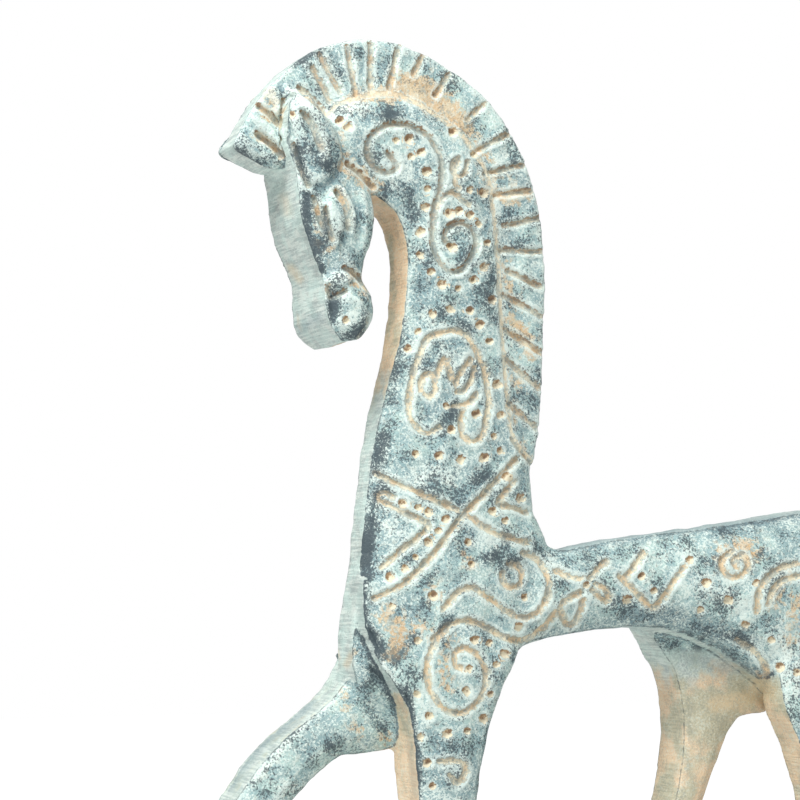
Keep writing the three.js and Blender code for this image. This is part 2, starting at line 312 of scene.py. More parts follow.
# %% The lines of the neck
scroll = flow([
    (388, 153), (394, 160), (397, 168), (389, 173), (377, 169), (370, 160), (367, 149), (369, 140),
    (374, 133), (383, 127), (394, 124), (406, 125), (417, 129), (429, 137), (438, 150), (442, 160),
    (443, 172), (442, 183), (438, 198), (435, 206), (433, 227), (434, 247), (441, 263), (450, 271),
    (461, 270), (470, 260), (477, 244), (472, 229), (460, 223), (449, 228), (445, 239), (452, 247),
])
scroll_marks = [scroll]
neck_marks = [
    flow([(437, 207), (444, 198), (452, 192), (461, 198), (470, 205)]),
    flow([(468, 162), (466, 172), (461, 176), (454, 174), (453, 166), (458, 160), (455, 180), (459, 188)]),
]
arch_marks = [
    flow([
        (440, 427), (427, 433), (414, 424), (409, 409), (410, 391), (414, 371), (421, 353), (427, 339),
        (441, 333), (456, 331), (466, 335), (472, 344), (479, 357), (486, 373), (488, 391), (489, 403),
        (487, 418), (482, 436), (474, 441), (464, 437), (461, 426), (463, 413),
    ]),
    flow([(421, 390), (421, 382), (427, 374), (434, 377), (435, 390), (431, 397), (425, 394)]),
    flow([(437, 376), (441, 366), (445, 359), (449, 366), (452, 378)]),
    flow([(456, 384), (460, 375), (466, 366), (471, 359)]),
    flow([(457, 392), (464, 391), (472, 380), (475, 367)]),
    flow([(453, 406), (468, 403), (477, 394)]),
]
strap_marks = [
    flow([(375, 474), (403, 486), (430, 498), (459, 511)]),
    flow([(470, 517), (484, 527), (500, 535), (528, 543)]),
    flow([(393, 497), (384, 493), (378, 499), (403, 512), (428, 524), (416, 539), (398, 553), (381, 568)]),
    flow([(517, 459), (490, 488), (462, 517), (441, 545), (418, 571), (400, 586), (374, 598)]),
    flow([(514, 481), (507, 490), (500, 500), (500, 505), (513, 508), (527, 512)]),
]
print("lines on the neck:", 1 + len(neck_marks) + len(arch_marks) + len(strap_marks))

# %% [markdown]
# The shoulder has a spiral fed by a double wave, and the waist a rosette of four petals and a
# zigzag. The marks on the rump run out of the photograph, so they go on in the same manner.

# %% The lines of the body
body_marks = [
    flow([
        (444, 609), (458, 593), (472, 588), (488, 597), (503, 609), (521, 618), (538, 612), (547, 597),
        (549, 583), (543, 567), (533, 557), (523, 553),
    ]),
    flow([(502, 574), (504, 583), (512, 588), (520, 584), (522, 574), (517, 566), (509, 564)]),
    flow([(433, 640), (447, 627), (466, 621), (488, 628), (506, 638), (525, 640), (543, 628), (556, 612)]),
    flow([(446, 630), (434, 645), (427, 665), (430, 688), (440, 705), (456, 713), (472, 708), (484, 692),
          (486, 672), (478, 655), (465, 648), (455, 654), (456, 665), (463, 669)]),
    flow([(440, 762), (452, 761), (463, 763), (466, 773), (458, 783), (450, 775)]),
    flow([(590, 579), (597, 570), (605, 562)]),
    flow([(581, 579), (572, 577), (556, 571)]),
    flow([(582, 592), (574, 597), (562, 604), (563, 617), (569, 625), (578, 617), (584, 600)]),
    flow([(592, 590), (601, 598), (609, 601), (606, 590), (596, 584)]),
    flow([(620, 576), (635, 592), (650, 606), (657, 605), (671, 587), (685, 566)]),
    flow([(626, 577), (634, 568), (644, 552)]),
    flow([(731, 552), (722, 561), (726, 574), (739, 577), (748, 567), (743, 556), (734, 561), (737, 568)]),
    flow([(757, 612), (759, 592), (769, 576), (783, 567), (799, 563)]),
    flow([(768, 604), (773, 590), (784, 580), (801, 576)]),
    flow([(737, 640), (752, 650), (764, 664), (770, 682)]),
]
rump_marks = [
    flow(curl(beside(50, 119), 34, 150, -1.6)),
    flow([beside(43, 130), beside(50, 133), beside(57, 129), beside(61, 121), beside(60, 112)]),
    flow([beside(38, 112), beside(42, 105), beside(49, 100), beside(54, 93)]),
    flow([beside(42, 114), beside(47, 107), beside(54, 103), beside(58, 96)]),
]
for z in (126, 112, 98, 84, 70, 56):
    rump_marks.append(flow([beside(75 if z > 110 else 76, z), beside(78.5, z - 5), beside(82, z + 1)]))
print("lines on the body:", len(body_marks) + len(rump_marks))

# %% [markdown]
# The mane stands upright in cropped locks, parted by straight grooves. Its foot is a step where
# the thicker neck begins. The face has deeper cuts: three tufts in the forelock, a slit in the
# leaf-shaped ear, an almond eye and a fold at the jaw.

# %% The lines of the mane and the face
mane_marks = [flow(pair) for pair in (
    [(300, 88), (327, 116)], [(312, 67), (330, 101)], [(320, 54), (340, 92)], [(347, 46), (356, 95)],
    [(371, 44), (371, 91)], [(398, 50), (389, 88)], [(422, 57), (414, 74)], [(449, 74), (436, 95)],
    [(484, 104), (468, 119)], [(509, 134), (476, 151)], [(523, 165), (484, 174)],
    [(531, 191), (495, 195)], [(539, 218), (504, 226)], [(543, 252), (499, 250)],
    [(540, 287), (508, 271)], [(543, 317), (503, 295)], [(541, 353), (504, 329)],
    [(539, 388), (505, 359)], [(536, 428), (508, 403)], [(532, 463), (513, 439)],
)]
mane_step = flow([
    (327, 116), (338, 104), (353, 99), (374, 94), (394, 94), (412, 101), (430, 112), (448, 124),
    (463, 137), (475, 153), (488, 178), (493, 211), (498, 262), (501, 313), (504, 364), (507, 400),
    (513, 435), (532, 463),
])
face_marks = [
    flow([(258, 106), (268, 113), (280, 125)]),
    flow([(257, 134), (270, 144), (283, 156)]),
    flow([(283, 100), (283, 122), (284, 146), (289, 160)]),
    flow([(302, 113), (309, 121), (315, 133), (321, 150)]),
    flow([(293, 145), (299, 165), (308, 186)]),
    flow([(347, 164), (360, 174), (373, 187)]),
    flow([(314, 197), (318, 212), (323, 228)]),
    flow([(325, 209), (328, 224), (332, 240)]),
    flow([(337, 191), (346, 208), (349, 229)]),
    flow([(345, 268), (357, 276), (368, 290)]),
    flow([(328, 286), (331, 297), (345, 291)]),
    flow([(366, 318), (364, 327), (358, 336)]),
]
print("lines on the head and the mane:", len(mane_marks) + 1 + len(face_marks))

# %% [markdown]
# Round pits were punched between the lines, nearly all with the same punch. They are kept as
# one list of centres, and a few on the legs and the rump continue them where the photograph
# ends.

# %% The punched pits
PIT = 4.3
neck_pits = [
    (340, 121), (349, 127), (396, 140), (409, 139), (421, 152), (411, 156), (426, 172), (427, 189),
    (425, 207), (453, 132), (474, 154), (449, 213), (459, 211), (470, 215), (484, 193), (479, 224),
    (420, 232), (420, 255), (431, 272), (442, 284), (459, 288), (474, 280), (484, 267), (487, 243),
    (450, 309), (470, 311), (432, 314), (480, 325), (418, 331), (492, 300), (408, 349), (489, 341),
    (497, 384), (416, 454), (439, 456), (461, 460), (494, 436), (484, 458), (501, 415), (501, 451),
    (508, 477), (447, 406), (451, 430), (476, 414), (470, 190), (452, 247), (293, 116), (345, 320),
]
strap_pits = [
    (403, 503), (418, 507), (428, 512), (446, 519), (438, 531), (429, 542), (416, 557), (405, 568),
    (390, 577), (392, 606), (433, 596), (469, 542), (472, 564), (521, 498), (505, 521), (493, 511),
]
body_pits = [
    (475, 640), (489, 643), (505, 654), (496, 665), (469, 669), (467, 691), (490, 694), (430, 716),
    (417, 694), (418, 640), (447, 734), (467, 731), (420, 737), (427, 763), (432, 786), (484, 719),
    (642, 576), (654, 591), (627, 600), (756, 583), (780, 667), (798, 672), (525, 597), (519, 627),
    (586, 585), (690, 560), (706, 583), (700, 610), (728, 600), (745, 625), (771, 640),
]
rump_pits = [beside(x, z) for x, z in (
    (41, 124), (45, 110), (52, 108), (59, 104), (62, 112), (63, 122), (57, 134), (48, 136),
    (40, 134), (44, 98), (50, 94), (50, 119),
)]
pits = neck_pits + strap_pits + body_pits + rump_pits
print("punched pits:", len(pits))

# %% [markdown]
# The cut of one line is a smooth furrow with a low lip. The strength and width of the nearest
# line's point decide it, so lines that cross don't deepen each other. A slow swing in the depth
# keeps the lines from looking machined.

# %% Cutting the lines
LIP = 0.30


def find_near(points, places, wanted):
    """Distance in pixels and index of the nearest point, for the wanted places only."""
    tree = KDTree(len(points))
    for k, (a, b) in enumerate(points.tolist()):
        tree.insert((a, b, 0), k)
    tree.balance()
    gap = np.full(len(places), 1e6)
    which = np.zeros(len(places), int)
    for k in np.flatnonzero(wanted).tolist():
        _, which[k], gap[k] = tree.find((places[k, 0], places[k, 1], 0))
    return gap, which


kinds = (
    # lines, half width in pixels, depth in mm, shares of ochre and of pale chalk in them
    (scroll_marks, 3.5, 0.62, 1.0, 0.45),
    (neck_marks, 3.1, 0.50, 0.7, 0.8),
    (arch_marks, 3.4, 0.48, 0.45, 1.0),
    (body_marks, 3.5, 0.48, 0.6, 1.0),
    (rump_marks, 3.3, 0.48, 0.6, 0.8),
    (strap_marks, 3.5, 0.58, 0.65, 0.9),
    (mane_marks, 3.3, 0.50, 0.9, 0.7),
    ([mane_step], 2.4, 0.06, 0.25, 0.9),
    (face_marks, 3.0, 0.75, 1.0, 0.5),
)
line_points = np.vstack([line for lines, *_ in kinds for line in lines])
line_width, line_depth, line_ink, line_chalk = (
    np.concatenate([np.full(len(line), row[n]) for row in kinds for line in row[0]])
    for n in (1, 2, 3, 4)
)
wander = np.sin(line_points[:, 0] * 0.21) * np.sin(line_points[:, 1] * 0.17)
line_depth *= 1 + 0.25 * wander
line_width *= 1 + 0.12 * wander

on_flank = flank > 0.02
gap, which = find_near(line_points, pixel, on_flank)
spread = gap / line_width[which]
furrow = 1 - ramp(spread, 0.1, 1.25)
lip = np.exp(-((spread - 1.55) / 0.42) ** 2)
line_cut = line_depth[which] * (LIP * lip - furrow)
print("line points:", len(line_points), "corners in furrows:", int((furrow > 0.3).sum()))

# %% [markdown]
# A pit has a flat floor, a steep wall and a faint rim. One punch made nearly all of them, but
# it was struck harder or softer, so their size swings a little.

# %% Punching the pits
PIT_DEPTH = 0.55
pit_places = np.array(pits, float)
pit_size = PIT * (1 + 0.18 * np.sin(np.arange(len(pits)) * 2.4))
pit_gap, which_pit = find_near(pit_places, pixel, on_flank)
pit_reach = pit_gap / pit_size[which_pit]
bowl = 1 - ramp(pit_reach, 0.35, 1.1)
rim = np.exp(-((pit_reach - 1.3) / 0.25) ** 2)
pit_cut = PIT_DEPTH * (0.22 * rim - bowl)
print("corners in pits:", int((bowl > 0.5).sum()))

# %% [markdown]
# The ear, the tufts of the forelock, the eye, the cheek and the lips stand proud of the head,
# and a few hollows lie in the ear, behind the nose and in the chest. Each is a closed outline,
# and a corner inside it rises or sinks with its distance from the edge.

# %% Raised and sunken forms


def inside(outline, places, wanted):
    """Distance in pixels from the outline, positive inside it and negative outside."""
    corners = flow(outline, closed=True)[:-1:4]
    nxt = np.roll(corners, -1, 0)
    found = np.full(len(places), -1e6)
    p = places[wanted]
    best = np.full(len(p), 1e9)
    crossings = np.zeros(len(p), int)
    for a, b in zip(corners, nxt):
        along = np.clip(((p - a) @ (b - a)) / ((b - a) @ (b - a)), 0, 1)
        best = np.minimum(best, np.hypot(*(p - a - along[:, None] * (b - a)).T))
        over = (a[1] > p[:, 1]) != (b[1] > p[:, 1])
        cross_at = a[0] + (p[:, 1] - a[1]) / (b[1] - a[1] + 1e-9) * (b[0] - a[0])
        crossings += over & (p[:, 0] < cross_at)
    found[wanted] = np.where(crossings % 2 == 1, best, -best)
    return found


raised = (
    # outline, height in mm, run of the slope in pixels
    ([(283, 82), (300, 92), (318, 107), (331, 121), (340, 142), (343, 160), (335, 176), (321, 187),
      (309, 185), (301, 168), (295, 148), (289, 126), (285, 104)], 0.9, 7),
    ([(299, 110), (305, 109), (312, 120), (318, 136), (323, 152), (317, 159), (308, 144), (301, 126)], -0.7, 5),
    ([(262, 93), (275, 85), (283, 92), (282, 112), (276, 118), (267, 104)], 0.8, 5),
    ([(247, 121), (256, 112), (268, 120), (279, 131), (284, 148), (275, 147), (262, 137)], 0.9, 6),
    ([(229, 146), (240, 129), (252, 137), (266, 145), (281, 158), (287, 170), (270, 166), (247, 158)], 0.9, 7),
    ([(327, 199), (337, 204), (344, 219), (343, 237), (336, 250), (329, 240), (325, 221)], 0.8, 5),
    ([(339, 186), (347, 189), (354, 206), (357, 226), (352, 240), (347, 226), (342, 206)], 0.6, 5),
    ([(357, 190), (368, 190), (377, 206), (377, 232), (371, 252), (361, 262), (356, 246), (360, 222)], 0.45, 7),
    ([(325, 279), (333, 270), (346, 272), (354, 281), (342, 289), (330, 289)], 0.9, 5),
    ([(336, 300), (346, 292), (360, 297), (370, 311), (367, 330), (353, 341), (339, 338), (335, 318)], 0.7, 6),
    ([(327, 288), (335, 290), (336, 308), (335, 327), (330, 320), (328, 302)], -0.6, 4),
    ([(360, 624), (372, 628), (380, 644), (378, 656), (366, 650), (359, 638)], -1.1, 6),
    ([(366, 656), (378, 655), (390, 668), (389, 676), (376, 668)], 1.0, 5),
    ([(367, 664), (380, 674), (392, 690), (396, 708), (386, 694), (372, 680)], -0.9, 5),
    ([(404, 690), (412, 704), (416, 732), (419, 764), (420, 800), (414, 800), (409, 764), (404, 728)], -0.8, 4),
)
near_head = on_flank & (pixel[:, 0] < 425)
raise_by = np.zeros(len(skin))
for outline, height, run in raised:
    raise_by += height * ramp(inside(outline, pixel, near_head), 0, run)
print("corners raised or sunk:", int((raise_by > 0.1).sum()))

# %% [markdown]
# A sand casting is never quite flat. Its surface swings gently over a few millimetres, and
# has a finer pebbling. Both are sums of waves in seeded random directions, which give the same
# surface each time.

# %% The swing of the cast surface


def waves(places, length, seed, count=18):
    """A smooth random field of about -1 to 1 with this wave length."""
    rng = np.random.default_rng(seed)
    ways = unit(rng.normal(size=(count, 3))) * (2 * math.pi / length)
    ways *= rng.uniform(0.7, 1.4, size=(count, 1))
    turn = rng.uniform(0, 2 * math.pi, count)
    total = np.zeros(len(places))
    for way, start in zip(ways, turn):
        total += np.cos(places @ way + start)
    return total / math.sqrt(count)


swing = 0.10 * waves(skin, 9 * MM, 3) + 0.05 * waves(skin, 3.4 * MM, 5)
pebble = 0.055 * waves(skin, 1.4 * MM, 8) * (0.25 + 0.75 * flank)
hooves = 1 - ramp(skin[:, 2], 11 * MM, 14 * MM)
moved = flank * (line_cut + pit_cut + raise_by) + (swing + pebble) * (1 - hooves)
carved = skin + facing * (moved * MM)[:, None]
sole = carved[:, 2] < 10.8 * MM
carved[sole, 2] -= 0.5 * MM
print("deepest cut and highest rise, mm:", round(moved.min(), 2), round(moved.max(), 2))

# %% [markdown]
# The finished skin has far more corners than its calm places need. The carving is put on the
# fine skin first and the skin is thinned afterwards, so that corners stay where the furrows
# turn. The other order would cut the ornament into a skin that is too coarse for it.

# %% Thin the calm places
MOST_TRIANGLES = 196000

horse.data.vertices.foreach_set("co", carved.astype(np.float32).ravel())
horse.data.update()
carved_facing = read(horse.data, "normal", 3)
horse.data.calc_loop_triangles()
fine_triangles = np.empty(len(horse.data.loop_triangles) * 3, np.int32)
horse.data.loop_triangles.foreach_get("vertices", fine_triangles)
fine_triangles = fine_triangles.reshape(-1, 3)

thin = horse.modifiers.new("thin", "DECIMATE")
thin.ratio = MOST_TRIANGLES / len(fine_triangles)
apply_last(horse)
bpy.ops.object.shade_smooth()
triangles = sum(len(p.vertices) - 2 for p in horse.data.polygons)
print("triangles before and after:", len(fine_triangles), triangles)

# %% [markdown]
# The front of the throat, the inner sides of the legs and the arches between them are
# sheltered. Little acid reached them, so they stay a smooth tan. Shelter is how much of the
# sky around a corner the horse itself hides. It is measured with rays from every fifteenth
# corner and then spread over its neighbours.

# %% Shelter
RAYS = 52
golden = math.pi * (3 - math.sqrt(5))
sky = np.array([
    (math.cos(golden * k) * math.sqrt(1 - h * h), math.sin(golden * k) * math.sqrt(1 - h * h), h)
    for k in range(RAYS) for h in [1 - (2 * k + 1) / RAYS]
])
sample = np.arange(0, len(skin), 15)
hidden = np.zeros(len(sample))
for n, k in enumerate(sample.tolist()):
    out = sky[sky @ facing[k] > 0.15]
    start = (skin[k] + facing[k] * 0.3 * MM).tolist()
    met = sum(skin_tree.ray_cast(start, way, 70 * MM)[0] is not None for way in out.tolist())
    hidden[n] = met / len(out)
sample_tree = KDTree(len(sample))
for n, corner in enumerate(skin[sample].tolist()):
    sample_tree.insert(corner, n)
sample_tree.balance()
nearest = np.fromiter((sample_tree.find(corner)[1] for corner in skin.tolist()), int, len(skin))
shelter = blur(hidden[nearest], ends, 6)
print("mean shelter:", round(float(shelter.mean()), 3))

# %% [markdown]
# The thinned skin has to know what the fine skin knew. Each kept corner finds the fine triangle
# that it lies on, and takes the mean of that triangle's corners by its place in the triangle.

# %% Hand the fine skin's knowledge on
fine_tree = BVHTree.FromPolygons(carved.tolist(), fine_triangles.tolist())
kept = read(horse.data, "co", 3)
foot = [fine_tree.find_nearest(corner) for corner in kept.tolist()]
on_triangle = fine_triangles[[hit[2] for hit in foot]]
foot_place = np.array([hit[0][:] for hit in foot])
a, b, c = (carved[on_triangle[:, n]] for n in range(3))
whole = np.linalg.norm(np.cross(b - a, c - a), axis=1) + 1e-18
share_b = np.linalg.norm(np.cross(foot_place - a, c - a), axis=1) / whole
share_c = np.linalg.norm(np.cross(foot_place - a, b - a), axis=1) / whole
shares = np.stack([1 - share_b - share_c, share_b, share_c], 1)


def hand_on(values):
    """A fine corner's property, as the kept corners have it."""
    rows = values.reshape(len(values), -1)[on_triangle]
    return (rows * shares[:, :, None]).sum(1).reshape(len(kept), *values.shape[1:])


mid = blur(carved, ends, 5)
relief = ((carved - mid) * carved_facing).sum(1) / MM
# Proud says how far a corner stands above its neighbours. The material paints raised places pale, partly as wear and
# partly as a painted highlight, and hollows darker, partly as patina and partly as painted shade.
proud = hand_on(np.clip(blur(relief, ends, 1) / 0.14, -1, 1)) * 0.5 + 0.5
where_seen, on_side, faces_side = hand_on(pixel), hand_on(flank), hand_on(sideways)
hidden_face, shaded = hand_on(inner), hand_on(shelter)
print("kept corners:", len(kept))

# %% [markdown]
# The salts and the painted shade in the furrows and pits change over less than the width of a
# triangle. So the corners don't carry them themselves. They carry how far the nearest line or
# pit is, and which way, which changes evenly over a triangle, and the material draws sharp
# borders from that.

# %% How far the lines and pits are
LIGHT_SIDE = np.array([0.35, 0.94])
FAR = 3.0

seen = on_side > 0.1
gap, which = find_near(line_points, where_seen, seen)
line_offset = (where_seen - line_points[which]) / line_width[which][:, None]
pit_gap, which_pit = find_near(pit_places, where_seen, seen)
pit_offset = (where_seen - pit_places[which_pit]) / pit_size[which_pit][:, None]
fields = {
    "gap": np.where(seen, np.clip(gap / line_width[which], 0, FAR), FAR),
    "lit": np.clip(line_offset @ LIGHT_SIDE, -FAR, FAR),
    "ink": line_ink[which],
    "chalk": line_chalk[which],
    "pit_x": np.clip(pit_offset[:, 0], -FAR, FAR),
    "pit_y": np.clip(pit_offset[:, 1], -FAR, FAR),
    "pit_reach": np.where(seen, np.clip(pit_gap / pit_size[which_pit], 0, FAR), FAR),
}
print("corners in lines:", int((fields["gap"] < 1).sum()), "in pits:", int((fields["pit_reach"] < 1).sum()))

# %% [markdown]
# The finisher worked over the patina with a brush: tan where the mane meets the neck, and pale
# salts on the rump. Some strokes are painted light and shade: charcoal is partly dark patina and
# partly painted shade down the chest and beside the face, slate is partly blue-grey patina and
# partly painted shade on the belly and under the haunch, and pale also paints highlights on the
# lip and the raised foreleg. A stroke is a radius and a strength, and then the points that the
# brush passed, in the photograph's pixels. A stroke of one point is a dab.

# %% Brush strokes of patina and of painted light and shade
strokes = {
    "tan": [
        (13, 0.9, (398, 84), (418, 84), (440, 100), (458, 116)), (9, 0.9, (352, 99), (372, 95), (395, 94)),
        (10, 0.8, (415, 94), (440, 108), (466, 128)), (8, 0.5, (474, 140), (486, 160)),
        (6, 0.6, (484, 178), (505, 176)), (7, 0.8, (490, 190), (505, 197), (520, 190)),
        (5, 0.7, (505, 202), (530, 196)), (7, 0.6, (503, 262), (508, 284), (514, 300)),
        (9, 0.8, (512, 318), (524, 338), (530, 352)), (8, 0.6, (512, 372), (520, 384)),
        (6, 0.5, (510, 404), (514, 420)), (5, 0.5, (522, 444), (530, 456)),
        (13, 0.8, (388, 618), (398, 634), (394, 652)), (8, 0.6, (418, 626), (432, 636)),
        (7, 0.6, (452, 640), (444, 660), (448, 690)), (6, 0.6, (466, 556), (472, 566)),
        (8, 0.6, (432, 590), (436, 598)), (12, 0.7, (722, 556), (746, 548), (750, 560)),
        (7, 0.7, (775, 604), (778, 588), (790, 574)), (9, 0.6, (796, 600), (790, 640)),
        (9, 0.9, (348, 166), (362, 176), (374, 188)), (5, 0.7, (337, 190), (345, 204)),
        (5, 0.6, (316, 206), (320, 230)), (7, 0.8, (268, 94), (276, 110)), (5, 0.8, (260, 110), (278, 126)),
        (5, 0.8, (258, 136), (282, 156)), (7, 0.5, (316, 244), (330, 250)), (8, 0.7, (352, 276), (364, 290)),
        (10, 0.5, (284, 198), (288, 212)), (8, 0.6, (290, 268), (300, 280)), (7, 0.6, (346, 664), (352, 654)),
        (6, 0.5, (342, 690), (345, 712)), (7, 0.5, (355, 726), (362, 732)), (9, 0.5, (384, 738), (396, 742)),
        (11, 0.9, (716, 704), (744, 700), (768, 692)), (8, 0.8, (758, 684), (764, 676)),
        (7, 0.4, (343, 128), (340, 150), (342, 168)), (6, 0.5, (296, 318), (300, 330)),
    ],
    # Charcoal: dark patina, and painted shade beside the ear and the muzzle, along the near edges of the neck and the
    # nose, and in the chest.
    "charcoal_and_shade": [
        (6, 0.5, (405, 318), (402, 345), (396, 372), (390, 404)), (9, 0.9, (384, 440), (380, 456), (374, 470)),
        (7, 0.7, (376, 492), (372, 506)), (9, 1.0, (370, 522), (366, 545), (364, 562)),
        (8, 1.0, (362, 580), (360, 600), (362, 622)), (9, 1.0, (368, 634), (378, 650)),
        (8, 0.9, (374, 668), (386, 684), (396, 702)), (6, 1.0, (406, 690), (411, 720), (415, 760), (417, 800)),
        (8, 0.5, (396, 662), (404, 650), (412, 636)), (9, 0.5, (372, 712), (380, 724)),
        (6, 0.7, (470, 328), (460, 322)), (6, 0.5, (452, 418), (456, 408)), (6, 0.5, (474, 480), (486, 476)),
        (5, 0.6, (452, 484), (456, 470)), (7, 0.7, (486, 560), (494, 554)), (4, 0.6, (428, 584), (436, 570)),
        (5, 0.6, (440, 630), (452, 618)), (5, 0.9, (296, 148), (300, 164), (306, 180)),
        (9, 0.5, (320, 162), (330, 168)), (5, 0.9, (306, 196), (306, 228), (312, 252), (322, 270)),
        (5, 0.7, (325, 214), (326, 240)), (6, 0.6, (314, 240), (326, 252)), (6, 0.8, (332, 290), (333, 318)),
        (5, 0.6, (362, 312), (360, 332)), (8, 0.5, (345, 336), (358, 330)), (6, 0.7, (238, 152), (252, 160), (262, 164)),
        (9, 0.5, (395, 184), (408, 196), (414, 214)), (8, 0.4, (386, 196), (378, 208)),
        (6, 0.6, (290, 66), (304, 58), (322, 50)), (8, 0.4, (330, 62), (344, 72)), (6, 0.5, (380, 118), (400, 114)),
        (8, 0.5, (486, 250), (492, 320)), (6, 0.7, (724, 636), (742, 640), (752, 646)),
        (5, 0.5, (708, 630), (696, 650), (690, 664)), (6, 0.4, (250, 784), (262, 778)),
        (4, 0.7, (690, 690), (690, 722), (686, 766), (681, 800)), (8, 0.4, (350, 470), (346, 500)),
        (6, 0.5, (515, 560), (505, 566)), (5, 0.5, (690, 548), (702, 560)), (6, 0.5, (330, 748), (342, 738)),
    ],
    # Slate: blue-grey patina, and painted shade in the band under the haunch, on the belly and on the raised foreleg.
    "slate_and_shade": [
        (16, 0.8, (640, 614), (680, 618), (722, 634), (758, 652), (766, 668)), (10, 0.7, (545, 636), (590, 632), (625, 622)),
        (7, 0.8, (560, 549), (640, 536), (720, 526), (800, 516)), (12, 0.5, (316, 60), (360, 50), (400, 52)),
        (10, 0.6, (334, 76), (366, 70), (386, 70)), (12, 0.5, (372, 116), (410, 112), (440, 126)),
        (10, 0.7, (310, 704), (280, 728), (250, 756), (228, 786)), (10, 0.4, (470, 690), (466, 710)),
        (16, 0.5, (715, 660), (740, 668)), (12, 0.6, (318, 160), (326, 172)), (10, 0.6, (296, 330), (320, 318)),
        (9, 0.5, (480, 350), (470, 400)), (12, 0.4, (432, 400), (460, 392)), (12, 0.5, (500, 740), (488, 790)),
        (12, 0.5, (430, 560), (470, 590)), (12, 0.4, (515, 440), (525, 420)), (8, 0.5, (535, 250), (538, 300)),
        (9, 0.5, (518, 170), (530, 200)), (12, 0.4, (350, 262), (330, 262)),
    ],
    # Pale: salts, and painted highlights on the lip, the nostril and the ridge of the raised foreleg.
    "pale_and_highlight": [
        (8, 1.0, (330, 112), (345, 108), (362, 102)), (5, 0.7, (362, 112), (366, 108)),
        (9, 0.7, (420, 478), (434, 474), (446, 476)), (10, 0.6, (386, 526), (398, 532)),
        (18, 0.6, (782, 640), (790, 670), (800, 690)), (14, 0.6, (700, 585), (725, 596), (740, 606)),
        (7, 0.8, (292, 92), (306, 102), (318, 114)), (6, 0.6, (320, 140), (324, 156)), (7, 0.5, (446, 352), (462, 360)),
        (5, 0.8, (332, 697), (310, 717), (288, 742), (265, 767), (252, 782)), (7, 0.6, (280, 790), (296, 786)),
        (7, 0.8, (334, 278), (340, 276)), (7, 0.5, (350, 322), (354, 312)), (7, 0.4, (424, 312), (438, 326)),
        (8, 0.5, (402, 166), (412, 178)), (9, 0.5, (546, 556), (560, 570)), (5, 0.6, (330, 236), (350, 222)),
        (7, 0.5, (500, 160), (512, 150)), (6, 0.5, (378, 664), (390, 672)), (8, 0.5, (478, 540), (500, 545)),
        (5, 0.5, (494, 176), (500, 250), (503, 310), (508, 390)), (8, 0.4, (690, 548), (660, 556)),
    ],
}


def brushed(layer):
    """How strongly the strokes of one layer cover each kept corner, from 0 to 1."""
    bare = np.ones(len(kept))
    for radius, strength, *passed in layer:
        line = flow(passed)[::4] if len(passed) > 1 else np.array(passed, float)
        low, high = line.min(0) - 3 * radius, line.max(0) + 3 * radius
        close = np.flatnonzero(((where_seen > low) & (where_seen < high)).all(1))
        away = np.linalg.norm(where_seen[close, None] - line[None], axis=2).min(1)
        bare[close] *= 1 - strength * np.exp(-(away / radius) ** 2)
    return 1 - bare


paint = {name: brushed(layer) for name, layer in strokes.items()}
print("strokes:", {name: len(layer) for name, layer in strokes.items()})

# %% [markdown]
# The narrow faces were run over a file. They are warm olive and tan in the throat, on the legs
# and wherever the horse shelters itself, and a cool grey-green on the chest, the nose and the
# crest.

# %% Warmth of the narrow faces
height_mm = kept[:, 2] / MM
throat = ramp(height_mm, 150, 172) * (1 - ramp(height_mm, 200, 206)) * (kept[:, 0] > -58 * MM)
legs_warm = (1 - ramp(height_mm, 98, 112)) * np.where(kept[:, 0] > -50 * MM, 1.0, 0.3)
warm = np.clip(np.maximum(throat, legs_warm) + 0.8 * ramp(shaded, 0.25, 0.6), 0, 1)

layers = {
    **fields,
    **paint,
    "sideways": faces_side,
    "inner": hidden_face,
    "warm": warm,
    "proud": proud,
    "shelter": shaded,
}
for name, values in layers.items():
    layer = horse.data.attributes.new(name, "FLOAT", "POINT")
    layer.data.foreach_set("value", values.astype(np.float32))
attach(horse, "root")
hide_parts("horse")
print("layers on the horse:", list(layers))

# %% [markdown]
# A low cast block carries the horse. It is a cube at the plinth's own size, with rounded
# corners and a line cut round its side, and then swung gently like the rest of the casting.

# %% The plinth
low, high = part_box("plinth")
size = high - low
bpy.ops.object.select_all(action="DESELECT")
bpy.ops.mesh.primitive_cube_add(size=1, location=(low + high) / 2)
plinth = bpy.context.object
plinth.name = "cast_plinth"
plinth.scale = size
bpy.ops.object.transform_apply(location=True, rotation=True, scale=True)


def pick(piece, choose):
    """In edit mode, selects the edges that choose accepts from their two ends."""
    bpy.ops.object.mode_set(mode="OBJECT")
    mesh = piece.data
    for group in (mesh.vertices, mesh.edges, mesh.polygons):
        group.foreach_set("select", np.zeros(len(group), bool))
    for edge in mesh.edges:
        a, b = (mesh.vertices[v].co for v in edge.vertices)
        edge.select = choose(a, b)
    bpy.ops.object.mode_set(mode="EDIT")


bpy.ops.object.mode_set(mode="EDIT")
bpy.ops.mesh.select_mode(type="EDGE")
pick(plinth, lambda a, b: abs(a.z - b.z) > 5 * MM)
bpy.ops.mesh.bevel(offset=2.2 * MM, segments=5, affect="EDGES")
pick(plinth, lambda a, b: min(a.z, b.z) > high.z - 0.1 * MM)
bpy.ops.mesh.bevel(offset=1.1 * MM, segments=3, affect="EDGES")
bpy.ops.object.mode_set(mode="OBJECT")
print("corners of the block:", len(plinth.data.vertices))

# %% [markdown]
# The block gets the same even skin as the horse. A line runs round its side, a little below
# the middle, and its faces swing as a sand casting's do.

